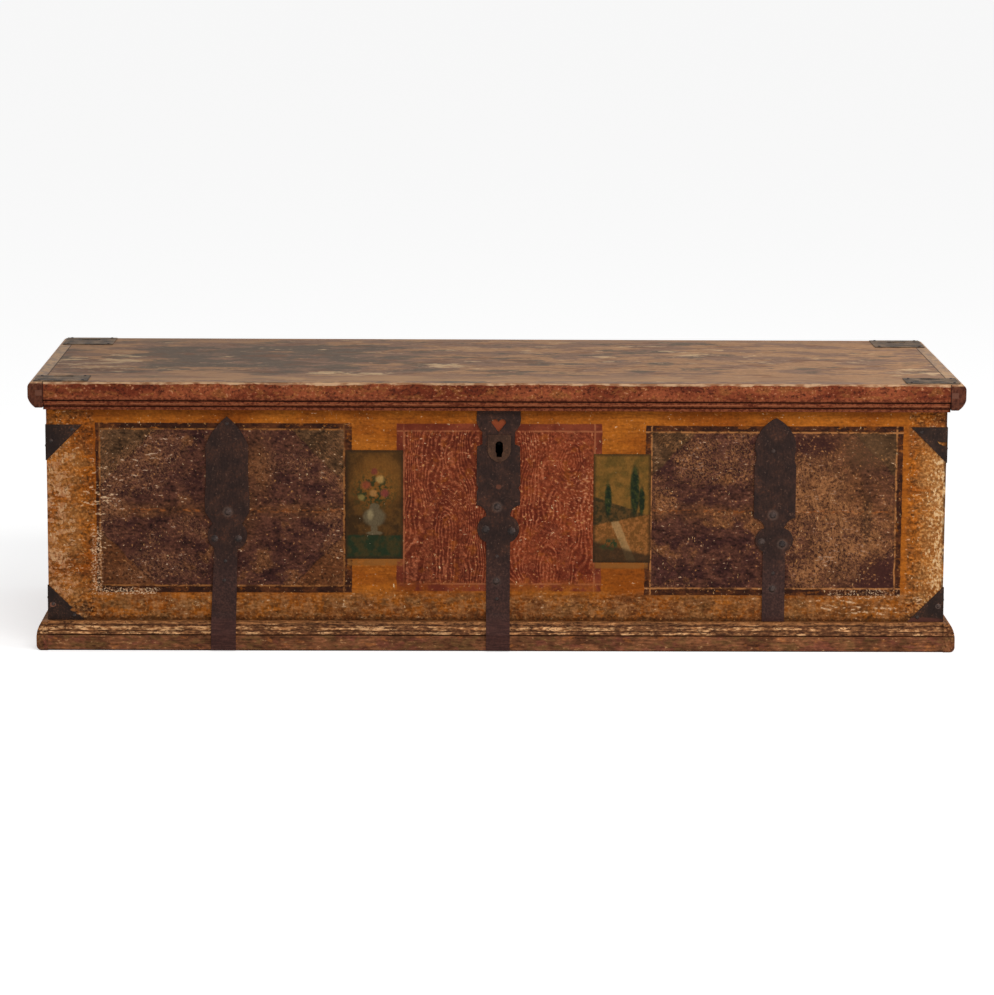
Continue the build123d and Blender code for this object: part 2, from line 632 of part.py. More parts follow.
# The centre band is the outer lock plate too
with BuildPart() as band_centre:
    with BuildSketch(front_plane(CENTRE_BAND_X)):
        with BuildLine():
            head = (37.5, LID_EDGE - 8)
            waist = (28, LID_EDGE - 38)
            step = (28, LID_EDGE - 60)
            shoulder = (37, LID_EDGE - 64)
            flank = (38, LID_EDGE - 130)
            nick = (34.5, LID_EDGE - 136)
            hip = (37.5, LID_EDGE - 142)
            heel = (37.5, LID_EDGE - 166)
            neck = (CENTRE_STRAP_HALF, LID_EDGE - EARS["centre"] + BULGE_LENGTH * 0.85)
            foot = (CENTRE_STRAP_HALF, LID_EDGE - EARS["centre"] - BULGE_LENGTH / 2)
            Polyline((0, LID_EDGE + CENTRE_BAND_LIFT), (37.5, LID_EDGE + CENTRE_BAND_LIFT), head)
            ThreePointArc(head, (37, LID_EDGE - 24), waist)
            Polyline(waist, step, shoulder, flank, nick, hip, heel)
            ThreePointArc(heel, (24, LID_EDGE - 174), neck)
            ThreePointArc(neck, (35.5, LID_EDGE - EARS["centre"]), foot)
            Polyline(foot, (CENTRE_STRAP_HALF, PLINTH_HEIGHT + STRAP_BEND), (0, PLINTH_HEIGHT + STRAP_BEND))
            mirror(about=Plane.YZ)
        make_face()
        # Heart cut-out
        with BuildLine():
            heart_top = LID_EDGE - HEART_DROP
            cheek = (HEART_HALF, heart_top - HEART_CHEEK)
            ThreePointArc((0, heart_top - HEART_DIP), (HEART_HALF / 2, heart_top), cheek)
            Line(cheek, (0, heart_top - HEART_LENGTH))
            mirror(about=Plane.YZ)
        make_face(mode=Mode.SUBTRACT)
    extrude(amount=BAND_THICKNESS)
    with BuildSketch(front_plane(KEY_X)):
        keyhole(Mode.ADD)
    extrude(amount=BAND_THICKNESS, mode=Mode.SUBTRACT)
    add(strap_over_plinth(CENTRE_BAND_X, CENTRE_STRAP_HALF))
    add(strap_hole_cutter("centre"), mode=Mode.SUBTRACT)
band_centre.part.label = "band_centre"
export_step(band_centre.part, "parts/band_centre.step")

for name in BAND_X:
    with BuildPart() as nails:
        spots = [((x, FRONT - BAND_THICKNESS, z), head) for x, z, head in band_nails(name)]
        add(drive(spots, (0, -1, 0), NAIL_LENGTH))
    nails.part.label = f"band_nails_{name}"
    export_step(nails.part, f"parts/band_nails_{name}.step")

with BuildPart() as keyhole_shield:
    with BuildSketch(front_plane(KEY_X, FRONT - BAND_THICKNESS)):
        with BuildLine():
            side_end = (SHIELD_HALF, KEY_HEIGHT - SHIELD_STRAIGHT)
            foot = (0, KEY_HEIGHT - SHIELD_DROP)
            Polyline((0, KEY_HEIGHT + SHIELD_RISE), (SHIELD_HALF, KEY_HEIGHT + SHIELD_RISE), side_end)
            ThreePointArc(side_end, (SHIELD_HALF * 0.7, KEY_HEIGHT - SHIELD_DROP * 0.75), foot)
            mirror(about=Plane.YZ)
        make_face()
        keyhole(Mode.SUBTRACT)
    extrude(amount=SHIELD_THICKNESS)
keyhole_shield.part.label = "keyhole_shield"
export_step(keyhole_shield.part, "parts/keyhole_shield.step")

# ================================================================ corner plates on the box
for level, (edge, turn) in CORNER_LEVELS.items():
    for name, side in SIDES.items():
        with BuildPart() as corner_plate:
            with BuildSketch(front_plane(side * HALF_BODY)):
                Polygon(
                    (-side * CORNER_LEG, edge),
                    (side * CORNER_THICKNESS, edge),
                    (side * CORNER_THICKNESS, edge + turn * CORNER_LEG),
                    (0, edge + turn * CORNER_LEG),
                    align=None,
                )
                for reach, z in corner_nails(level):
                    spot = (side * (HALF_BODY - reach), z)
                    with Locations((-side * reach, z)):
                        if spot != TORN_SPOT:
                            Rectangle(NAIL_HOLE, NAIL_HOLE, mode=Mode.SUBTRACT)
                if (level, name) == ("top", "right"):
                    Polygon(*[(-reach, edge - drop) for reach, drop in TEAR], align=None, mode=Mode.SUBTRACT)
            extrude(amount=CORNER_THICKNESS)
            with BuildSketch(side_plane(side)):
                Polygon((0, edge), (CORNER_LEG, edge), (0, edge + turn * CORNER_LEG), align=None)
                with Locations(*corner_nails(level, CORNER_NAIL_STAGGER)):
                    Rectangle(NAIL_HOLE, NAIL_HOLE, mode=Mode.SUBTRACT)
            extrude(amount=side * CORNER_THICKNESS)
        corner_plate.part.label = f"corner_plate_{level}_{name}"
        export_step(corner_plate.part, f"parts/corner_plate_{level}_{name}.step")

with BuildPart() as corner_nail_set:
    front_spots = [((x, FRONT - CORNER_THICKNESS, z), SMALL_HEAD) for x, z in CORNER_FRONT_SPOTS]
    add(drive(front_spots, (0, -1, 0), CORNER_NAIL_LENGTH))
    for side in SIDES.values():
        outside = side * (HALF_BODY + CORNER_THICKNESS)
        side_spots = [((outside, FRONT + reach, z), SMALL_HEAD) for reach, z in CORNER_END_SPOTS]
        add(drive(side_spots, (side, 0, 0), CORNER_NAIL_LENGTH))
corner_nail_set.part.label = "corner_nails"
export_step(corner_nail_set.part, "parts/corner_nails.step")

# ================================================================ pasted prints
PRINTS = {"left": (PRINT_LEFT_X, PRINT_LEFT_MIDDLE), "right": (PRINT_RIGHT_X, PRINT_RIGHT_MIDDLE)}
for name, (x, z) in PRINTS.items():
    with BuildPart() as sheet:
        with BuildSketch(front_plane(x)):
            with Locations((0, z)):
                Rectangle(PRINT_WIDTH, PRINT_HEIGHT)
        extrude(amount=PAPER)
    sheet.part.label = f"print_{name}"
    export_step(sheet.part, f"parts/print_{name}.step")

# ================================================================ lock
LOCK_FACE = INSIDE + LOCK_PLATE
with BuildPart() as lock_plate:
    with BuildSketch(front_plane(KEY_X, INSIDE)) as outline:
        with Locations((0, KEY_HEIGHT + (LOCK_RISE - LOCK_DROP) / 2)):
            Rectangle(2 * LOCK_HALF, LOCK_RISE + LOCK_DROP)
        chamfer(outline.vertices(), LOCK_CLIP)
        keyhole(Mode.SUBTRACT)
    extrude(amount=-LOCK_PLATE)
    add(pilot_holes(front_plane(0, INSIDE), LOCK_SPOTS + BRIDGE_SPOTS, LOCK_PLATE), mode=Mode.SUBTRACT)
lock_plate.part.label = "lock_plate"
export_step(lock_plate.part, "parts/lock_plate.step")

KEEPER_DEPTH = BOLT_FRONT + BOLT_THICKNESS + KEEPER_WALL - LOCK_FACE
for name, side in SIDES.items():
    with BuildPart() as keeper:
        keeper_x = KEY_X + side * KEEPER_OFFSET
        with BuildSketch(Plane((keeper_x, LOCK_FACE, 0), x_dir=(0, 1, 0), z_dir=(1, 0, 0))):
            with Locations((KEEPER_DEPTH / 2, BOLT_FOOT + BOLT_HEIGHT / 2)):
                Rectangle(KEEPER_DEPTH, BOLT_HEIGHT + 2 * KEEPER_WALL)
            with Locations((BOLT_STANDOFF + BOLT_THICKNESS / 2, BOLT_FOOT + BOLT_HEIGHT / 2)):
                Rectangle(
                    BOLT_THICKNESS + 2 * BOLT_CLEARANCE, BOLT_HEIGHT + 2 * BOLT_CLEARANCE, mode=Mode.SUBTRACT
                )
        extrude(amount=KEEPER_WIDTH / 2, both=True)
        fillet(keeper.faces().sort_by(Axis.Y)[-1].edges().filter_by(Axis.X), KEEPER_WALL / 2)
    keeper.part.label = f"lock_keeper_{name}"
    export_step(keeper.part, f"parts/lock_keeper_{name}.step")

with BuildPart() as lock_bolt:
    with BuildSketch(front_plane(KEY_X, BOLT_FRONT)):
        with Locations((BOLT_NOSE - BOLT_LENGTH / 2, BOLT_FOOT + BOLT_HEIGHT / 2)):
            Rectangle(BOLT_LENGTH, BOLT_HEIGHT)
        # Talon: the notch that the key's bit turns in
        with Locations((0, BOLT_FOOT + TALON_DEPTH / 2)):
            Rectangle(TALON_WIDTH, TALON_DEPTH, mode=Mode.SUBTRACT)
    extrude(amount=-BOLT_THICKNESS)
    chamfer(lock_bolt.faces().sort_by(Axis.X)[-1].edges(), NOSE_CHAMFER)
lock_bolt.part.label = "lock_bolt"
export_step(lock_bolt.part, "parts/lock_bolt.step")

# Spring that presses the bolt down from a stud on the plate
BOLT_TOP = BOLT_FOOT + BOLT_HEIGHT
with BuildPart() as lock_spring:
    with BuildSketch(front_plane(KEY_X, BOLT_FRONT)):
        with BuildLine() as leaf:
            tip = (-SPRING_SPAN / 2, BOLT_TOP + SPRING_SEAT)
            middle = (0, BOLT_TOP + SPRING_SEAT + SPRING_RISE / 4)
            root = (SPRING_SPAN / 2, BOLT_TOP + SPRING_SEAT + SPRING_RISE)
            ThreePointArc(tip, middle, root)
            offset(amount=SPRING_THICKNESS, side=Side.LEFT)
        make_face()
    extrude(amount=-SPRING_WIDTH)
    stud_height = BOLT_TOP + SPRING_SEAT + SPRING_RISE + STUD_RADIUS - SPRING_THICKNESS
    with BuildSketch(front_plane(KEY_X, LOCK_FACE)):
        with Locations((SPRING_SPAN / 2, stud_height)):
            Circle(STUD_RADIUS)
    extrude(amount=-(BOLT_STANDOFF + SPRING_WIDTH))
lock_spring.part.label = "lock_spring"
export_step(lock_spring.part, "parts/lock_spring.step")

# Bridge over the key's place, which carries the drill pin
with BuildPart() as lock_bridge:
    with BuildSketch(Plane((KEY_X, LOCK_FACE, KEY_HEIGHT - BRIDGE_HEIGHT / 2), z_dir=(0, 0, 1))):
        Polygon(
            (-BRIDGE_HALF - BRIDGE_FOOT, 0),
            (-BRIDGE_HALF + BRIDGE_THICKNESS, 0),
            (-BRIDGE_HALF + BRIDGE_THICKNESS, BRIDGE_DEPTH - BRIDGE_THICKNESS),
            (BRIDGE_HALF - BRIDGE_THICKNESS, BRIDGE_DEPTH - BRIDGE_THICKNESS),
            (BRIDGE_HALF - BRIDGE_THICKNESS, 0),
            (BRIDGE_HALF + BRIDGE_FOOT, 0),
            (BRIDGE_HALF + BRIDGE_FOOT, BRIDGE_THICKNESS),
            (BRIDGE_HALF, BRIDGE_THICKNESS),
            (BRIDGE_HALF, BRIDGE_DEPTH),
            (-BRIDGE_HALF, BRIDGE_DEPTH),
            (-BRIDGE_HALF, BRIDGE_THICKNESS),
            (-BRIDGE_HALF - BRIDGE_FOOT, BRIDGE_THICKNESS),
            align=None,
        )
    extrude(amount=BRIDGE_HEIGHT)
    add(pilot_holes(front_plane(0, LOCK_FACE), BRIDGE_SPOTS, BRIDGE_THICKNESS), mode=Mode.SUBTRACT)
    with BuildSketch(front_plane(KEY_X, LOCK_FACE)):
        with Locations((0, KEY_HEIGHT)):
            Circle(DRILL_PIN_RADIUS + NAIL_CLEARANCE)
    extrude(amount=-BRIDGE_DEPTH, mode=Mode.SUBTRACT)
lock_bridge.part.label = "lock_bridge"
export_step(lock_bridge.part, "parts/lock_bridge.step")

with BuildPart() as lock_drill_pin:
    with BuildSketch(front_plane(KEY_X, LOCK_FACE + BRIDGE_DEPTH)):
        with Locations((0, KEY_HEIGHT)):
            Circle(DRILL_PIN_RADIUS)
    extrude(amount=BRIDGE_DEPTH + LOCK_PLATE + DRILL_PIN_REACH)
    with BuildSketch(front_plane(KEY_X, LOCK_FACE + BRIDGE_DEPTH)):
        with Locations((0, KEY_HEIGHT)):
            RegularPolygon(DRILL_PIN_HEAD, HEAD_SIDES)
    extrude(amount=-DRILL_PIN_HEAD_THICKNESS)
lock_drill_pin.part.label = "lock_drill_pin"
export_step(lock_drill_pin.part, "parts/lock_drill_pin.step")

with BuildPart() as lock_nails:
    plate_spots = [((x, LOCK_FACE, z), SMALL_HEAD) for x, z in LOCK_SPOTS]
    bridge_spots = [((x, LOCK_FACE + BRIDGE_THICKNESS, z), SMALL_HEAD) for x, z in BRIDGE_SPOTS]
    add(drive(plate_spots + bridge_spots, (0, 1, 0), LOCK_NAIL_LENGTH))
lock_nails.part.label = "lock_nails"
export_step(lock_nails.part, "parts/lock_nails.step")


# ================================================================ lid
def lid_moulding_section():
    """The lid moulding's section: out from the lid boards' edge, and height."""
    out = LID_MOULDING_THICKNESS
    fascia_foot = LID_TOP - LID_FASCIA
    ovolo_foot = LID_EDGE + LID_FOOT_RISE + GROOVE
    with BuildSketch() as section:
        with BuildLine():
            Polyline((out - LID_ARRIS, LID_TOP), (0, LID_TOP), (0, LID_EDGE), (LID_FOOT, LID_EDGE))
            # Small lower member, groove, quarter round, groove, fascia
            Polyline(
                (LID_FOOT, LID_EDGE),
                (LID_FOOT + GROOVE, LID_EDGE + LID_FOOT_RISE),
                (LID_FOOT, LID_EDGE + LID_FOOT_RISE),
                (LID_FOOT, ovolo_foot),
                (LID_FOOT + GROOVE, ovolo_foot),
            )
            RadiusArc(
                (LID_FOOT + GROOVE, ovolo_foot), (out - 2 * GROOVE, fascia_foot - GROOVE), -LID_OVOLO_RADIUS
            )
            Polyline(
                (out - 2 * GROOVE, fascia_foot - GROOVE),
                (out - 3 * GROOVE, fascia_foot - GROOVE),
                (out - 3 * GROOVE, fascia_foot),
                (out - GROOVE, fascia_foot),
                (out, fascia_foot + GROOVE),
                (out, LID_TOP - LID_ARRIS),
            )
            RadiusArc((out, LID_TOP - LID_ARRIS), (out - LID_ARRIS, LID_TOP), -LID_ARRIS)
        make_face()
    return section.sketch


def lid_end_section():
    """The end mouldings' section: out from the lid boards' ends, and height."""
    out = LID_MOULDING_THICKNESS
    foot = LID_EDGE + LID_FOOT_RISE
    chamfer_in = (out - LID_END_CHAMFER_OUT, foot)
    chamfer_out = (out, foot + LID_END_CHAMFER_HEIGHT)
    with BuildSketch() as section:
        with BuildLine():
            Polyline((out - LID_END_ARRIS, LID_TOP), (0, LID_TOP), (0, foot), chamfer_in)
            RadiusArc(chamfer_in, chamfer_out, -LID_END_CHAMFER_BULGE)
            Line(chamfer_out, (out, LID_TOP - LID_END_ARRIS))
            RadiusArc((out, LID_TOP - LID_END_ARRIS), (out - LID_END_ARRIS, LID_TOP), -LID_END_ARRIS)
        make_face()
    return section.sketch


TONGUE_MIDDLE = LID_TOP - TONGUE_LEVEL
LID_FRONT = FRONT - LID_OVERHANG
IRON_OUT = LID_BOARD_HALF + LID_MOULDING_THICKNESS - LID_IRON_SETBACK  # irons' outer ends
IRON_REACH = LID_IRON_LENGTH - 2 * LID_IRON_NAIL_INSET
# Rear edge of each row of irons
IRON_ROWS = {
    "front": LID_FRONT + LID_IRON_MARGINS["front"] + LID_IRON_DEPTHS["front"],
    "back": BACK - LID_IRON_MARGINS["back"],
}


def iron_nails(row, side):
    """Places of the nails of one lid iron."""
    rear = IRON_ROWS[row]
    outer = IRON_OUT - LID_IRON_NAIL_INSET
    return [
        (side * (outer - along), rear - inset)
        for along in (0, IRON_REACH)
        for inset in (LID_IRON_NAIL_INSET, LID_IRON_DEPTHS[row] - LID_IRON_NAIL_INSET)
    ]


ALL_IRON_NAILS = [spot for row in IRON_ROWS for side in SIDES.values() for spot in iron_nails(row, side)]
LID_TOP_PLANE = Plane.XY.offset(LID_TOP)
IRON_PILOT = LID_NAIL_LENGTH - LID_IRON_THICKNESS + NAIL_TIP
STRAP_PILOT = HINGE_NAIL_LENGTH - LEAF_THICKNESS + NAIL_TIP
STAPLE_PILOT = STAPLE_NAIL_LENGTH - STAPLE_BASE_THICKNESS + NAIL_TIP
iron_pilots = pilot_holes(LID_TOP_PLANE, ALL_IRON_NAILS, IRON_PILOT)
strap_pilots = pilot_holes(Plane.XY.offset(JOINT_HEIGHT), STRAP_SPOTS, -STRAP_PILOT)
staple_pilots = pilot_holes(Plane.XY.offset(JOINT_HEIGHT), STAPLE_SPOTS, -STAPLE_PILOT)

LID_PLANK_WIDTH = (BODY_DEPTH + LID_GAP) / LID_PLANK_COUNT
for i in range(LID_PLANK_COUNT):
    with BuildPart() as lid_plank:
        with BuildSketch(Plane.XY.offset(JOINT_HEIGHT)):
            with Locations((0, FRONT - LID_GAP + LID_PLANK_WIDTH * (i + 0.5))):
                Rectangle(2 * LID_BOARD_HALF, LID_PLANK_WIDTH)
        extrude(amount=LID_THICKNESS)
        add(iron_pilots, mode=Mode.SUBTRACT)
        add(strap_pilots, mode=Mode.SUBTRACT)
        add(staple_pilots, mode=Mode.SUBTRACT)
    lid_plank.part.label = f"lid_plank_{i + 1}"
    export_step(lid_plank.part, f"parts/lid_plank_{i + 1}.step")

with BuildPart() as lid_moulding_front:
    with BuildSketch(Plane((LID_BOARD_HALF, FRONT - LID_GAP, 0), x_dir=(0, -1, 0), z_dir=(-1, 0, 0))):
        add(lid_moulding_section())
    extrude(amount=2 * LID_BOARD_HALF)
    # Tongues, open to the front, that lock into the end mouldings
    with BuildSketch(Plane.XY.offset(TONGUE_MIDDLE - TONGUE_HEIGHT / 2)):
        with Locations((0, FRONT - LID_GAP - LID_MOULDING_THICKNESS / 2)):
            Rectangle(2 * (LID_BOARD_HALF + TONGUE_LENGTH), LID_MOULDING_THICKNESS)
    extrude(amount=TONGUE_HEIGHT)
    add(iron_pilots, mode=Mode.SUBTRACT)
lid_moulding_front.part.label = "lid_moulding_front"
export_step(lid_moulding_front.part, "parts/lid_moulding_front.step")

for name, side in SIDES.items():
    with BuildPart() as lid_moulding_end:
        with BuildSketch(Plane((side * LID_BOARD_HALF, BACK, 0), x_dir=(side, 0, 0), z_dir=(0, -side, 0))):
            add(lid_end_section())
        extrude(amount=side * (BODY_DEPTH + LID_OVERHANG))
        # Slot for the front moulding's tongue
        with BuildSketch(Plane.XY.offset(TONGUE_MIDDLE - TONGUE_HEIGHT / 2 - TONGUE_CLEARANCE)):
            slot_length = TONGUE_LENGTH + TONGUE_CLEARANCE
            slot_depth = LID_MOULDING_THICKNESS + TONGUE_CLEARANCE
            with Locations((side * (LID_BOARD_HALF + slot_length / 2), LID_FRONT + slot_depth / 2)):
                Rectangle(slot_length, slot_depth)
        extrude(amount=TONGUE_HEIGHT + 2 * TONGUE_CLEARANCE, mode=Mode.SUBTRACT)
        add(iron_pilots, mode=Mode.SUBTRACT)
    lid_moulding_end.part.label = f"lid_moulding_{name}"
    export_step(lid_moulding_end.part, f"parts/lid_moulding_{name}.step")

# Irons over the corners of the lid
for row, rear in IRON_ROWS.items():
    for name, side in SIDES.items():
        with BuildPart() as lid_iron:
            with BuildSketch(LID_TOP_PLANE):
                middle = side * (IRON_OUT - LID_IRON_LENGTH / 2)
                with Locations((middle, rear - LID_IRON_DEPTHS[row] / 2)):
                    Rectangle(LID_IRON_LENGTH, LID_IRON_DEPTHS[row])
                with Locations((middle, rear - LID_IRON_SLOT_INSETS[row])):
                    SlotOverall(LID_IRON_SLOT, LID_IRON_SLOT_WIDTH, mode=Mode.SUBTRACT)
                with Locations(*iron_nails(row, side)):
                    Rectangle(NAIL_HOLE, NAIL_HOLE, mode=Mode.SUBTRACT)
            extrude(amount=LID_IRON_THICKNESS)
        lid_iron.part.label = f"lid_iron_{row}_{name}"
        export_step(lid_iron.part, f"parts/lid_iron_{row}_{name}.step")

with BuildPart() as lid_iron_nails:
    spots = [((x, y, LID_TOP + LID_IRON_THICKNESS), SMALL_HEAD) for x, y in ALL_IRON_NAILS]
    add(drive(spots, (0, 0, 1), LID_NAIL_LENGTH))
lid_iron_nails.part.label = "lid_iron_nails"
export_step(lid_iron_nails.part, "parts/lid_iron_nails.step")

# ================================================================ hinges
HINGE_AXIS = Plane((0, HINGE_Y, HINGE_Z), x_dir=(0, 1, 0), z_dir=(1, 0, 0))


def knuckle(x, length, radius):
    """A cylinder on the hinge axis, centred at x."""
    with BuildPart() as barrel:
        with BuildSketch(HINGE_AXIS.offset(x - length / 2)):
            Circle(radius)
        extrude(amount=length)
    return barrel.part


for name, side in SIDES.items():
    x = side * HINGE_X
    pin_hole = knuckle(x, 2 * LEAF_WIDTH, PIN_RADIUS + PIN_CLEARANCE)
    with BuildPart() as hinge_strap:
        with BuildSketch(Plane.XY.offset(JOINT_HEIGHT - LEAF_THICKNESS)):
            taper_end = BACK - STRAP_LENGTH + STRAP_POINT
            Polygon(
                (x - LEAF_WIDTH / 2, BACK),
                (x + LEAF_WIDTH / 2, BACK),
                (x + STRAP_TAPER / 2, taper_end),
                (x, BACK - STRAP_LENGTH),
                (x - STRAP_TAPER / 2, taper_end),
                align=None,
            )
            with Locations((x, (BACK + HINGE_Y) / 2)):
                Rectangle(KNUCKLE_LENGTH, HINGE_Y - BACK)
        extrude(amount=LEAF_THICKNESS)
        add(knuckle(x, KNUCKLE_LENGTH, KNUCKLE_RADIUS))
        add(pin_hole, mode=Mode.SUBTRACT)
        strap_holes = [spot for spot in STRAP_SPOTS if spot[0] == x]
        add(
            pilot_holes(Plane.XY.offset(JOINT_HEIGHT), strap_holes, LEAF_THICKNESS),
            mode=Mode.SUBTRACT,
        )
    hinge_strap.part.label = f"hinge_strap_{name}"
    export_step(hinge_strap.part, f"parts/hinge_strap_{name}.step")

    with BuildPart() as hinge_leaf:
        with BuildSketch(front_plane(x, BACK)):
            half = LEAF_WIDTH / 2
            Polygon(
                (-half, HINGE_Z),
                (half, HINGE_Z),
                (half, HINGE_Z - LEAF_DROP + LEAF_POINT),
                (half - LEAF_POINT, HINGE_Z - LEAF_DROP),
                (LEAF_POINT - half, HINGE_Z - LEAF_DROP),
                (-half, HINGE_Z - LEAF_DROP + LEAF_POINT),
                align=None,
            )
            # Notch for the lid's knuckle
            notch_width = KNUCKLE_LENGTH + 2 * KNUCKLE_GAP
            with Locations((0, HINGE_Z)):
                Rectangle(notch_width, 2 * (KNUCKLE_RADIUS + HINGE_CLEARANCE), mode=Mode.SUBTRACT)
        extrude(amount=-LEAF_THICKNESS)
        for turn in (-1, 1):
            add(knuckle(x + turn * (KNUCKLE_LENGTH + KNUCKLE_GAP), KNUCKLE_LENGTH, KNUCKLE_RADIUS))
        add(pin_hole, mode=Mode.SUBTRACT)
        leaf_holes = [spot for spot in LEAF_SPOTS if spot[0] == x]
        add(pilot_holes(front_plane(0, BACK), leaf_holes, LEAF_THICKNESS), mode=Mode.SUBTRACT)
    hinge_leaf.part.label = f"hinge_leaf_{name}"
    export_step(hinge_leaf.part, f"parts/hinge_leaf_{name}.step")

    with BuildPart() as hinge_pin:
        add(knuckle(x, LEAF_WIDTH, PIN_RADIUS))
        # Hammered ends
        for turn in (-1, 1):
            with BuildSketch(HINGE_AXIS.offset(x + turn * LEAF_WIDTH / 2)):
                RegularPolygon(PIN_HEAD, HEAD_SIDES)
            extrude(amount=turn * PIN_HEAD_THICKNESS)
    hinge_pin.part.label = f"hinge_pin_{name}"
    export_step(hinge_pin.part, f"parts/hinge_pin_{name}.step")

with BuildPart() as hinge_strap_nails:
    spots = [((x, y, JOINT_HEIGHT - LEAF_THICKNESS), HEAD) for x, y in STRAP_SPOTS]
    add(drive(spots, (0, 0, -1), HINGE_NAIL_LENGTH))
hinge_strap_nails.part.label = "hinge_strap_nails"
export_step(hinge_strap_nails.part, "parts/hinge_strap_nails.step")

with BuildPart() as hinge_leaf_nails:
    spots = [((x, BACK + LEAF_THICKNESS, z), HEAD) for x, z in LEAF_SPOTS]
    add(drive(spots, (0, 1, 0), HINGE_NAIL_LENGTH))
hinge_leaf_nails.part.label = "hinge_leaf_nails"
export_step(hinge_leaf_nails.part, "parts/hinge_leaf_nails.step")

# ================================================================ staple that the bolt catches
STAPLE_BACK = STAPLE_Y + BOLT_THICKNESS / 2 + STAPLE_EYE_CLEARANCE + STAPLE_WALL
STAPLE_EYE_FOOT = BOLT_FOOT - STAPLE_EYE_CLEARANCE
STAPLE_FOOT = STAPLE_EYE_FOOT - STAPLE_WALL
with BuildPart() as lock_staple:
    with BuildSketch(Plane((STAPLE_X, STAPLE_Y, 0), x_dir=(0, 1, 0), z_dir=(1, 0, 0))) as cheek:
        width = 2 * (STAPLE_BACK - STAPLE_Y)
        with Locations((0, (STAPLE_FOOT + JOINT_HEIGHT) / 2)):
            Rectangle(width, JOINT_HEIGHT - STAPLE_FOOT)
        fillet(cheek.vertices().group_by(Axis.Y)[0], STAPLE_WALL)
        with Locations((0, BOLT_FOOT + BOLT_HEIGHT / 2)):
            eye_depth = BOLT_THICKNESS + 2 * STAPLE_EYE_CLEARANCE
            Rectangle(eye_depth, BOLT_HEIGHT + 2 * STAPLE_EYE_CLEARANCE, mode=Mode.SUBTRACT)
    extrude(amount=STAPLE_THICKNESS / 2, both=True)
    with BuildSketch(Plane.XY.offset(JOINT_HEIGHT - STAPLE_BASE_THICKNESS)):
        with Locations((STAPLE_X, STAPLE_Y)):
            Rectangle(STAPLE_BASE_LENGTH, STAPLE_BASE_DEPTH)
    extrude(amount=STAPLE_BASE_THICKNESS)
    add(pilot_holes(Plane.XY.offset(JOINT_HEIGHT), STAPLE_SPOTS, STAPLE_BASE_THICKNESS), mode=Mode.SUBTRACT)
lock_staple.part.label = "lock_staple"
export_step(lock_staple.part, "parts/lock_staple.step")

with BuildPart() as staple_nails:
    spots = [((x, y, JOINT_HEIGHT - STAPLE_BASE_THICKNESS), SMALL_HEAD) for x, y in STAPLE_SPOTS]
    add(drive(spots, (0, 0, -1), STAPLE_NAIL_LENGTH))
staple_nails.part.label = "staple_nails"
export_step(staple_nails.part, "parts/staple_nails.step")
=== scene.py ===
import math

import bpy
from mathutils import Matrix, Vector


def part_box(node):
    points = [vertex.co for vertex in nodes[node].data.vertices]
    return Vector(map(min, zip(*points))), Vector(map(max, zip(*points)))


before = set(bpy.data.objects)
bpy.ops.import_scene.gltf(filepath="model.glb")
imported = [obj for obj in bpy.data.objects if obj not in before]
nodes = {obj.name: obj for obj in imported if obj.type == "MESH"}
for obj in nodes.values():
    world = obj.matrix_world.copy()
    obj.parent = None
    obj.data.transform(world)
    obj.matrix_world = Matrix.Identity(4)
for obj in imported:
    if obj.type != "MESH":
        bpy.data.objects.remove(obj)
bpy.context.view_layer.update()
bpy.ops.object.select_all(action="DESELECT")

# ---------------- front board
# One wide pine board, painted in oil: ochre ground, two dark panels at the sides
# and a red grained panel in the middle, all lined out by hand and flaked with age.
MM = 1000  # millimetres in a metre
SEED_STEP = (137.0, 71.0, 213.0)  # how far one seed's cloud lies from the next


def rgb(red, green, blue):
    """A colour as a painter would match it on a screen, from 0 to 255, turned into light."""
    shares = (red / 255, green / 255, blue / 255)
    light = [share / 12.92 if share <= 0.04 else ((share + 0.055) / 1.055) ** 2.4 for share in shares]
    return (*light, 1.0)


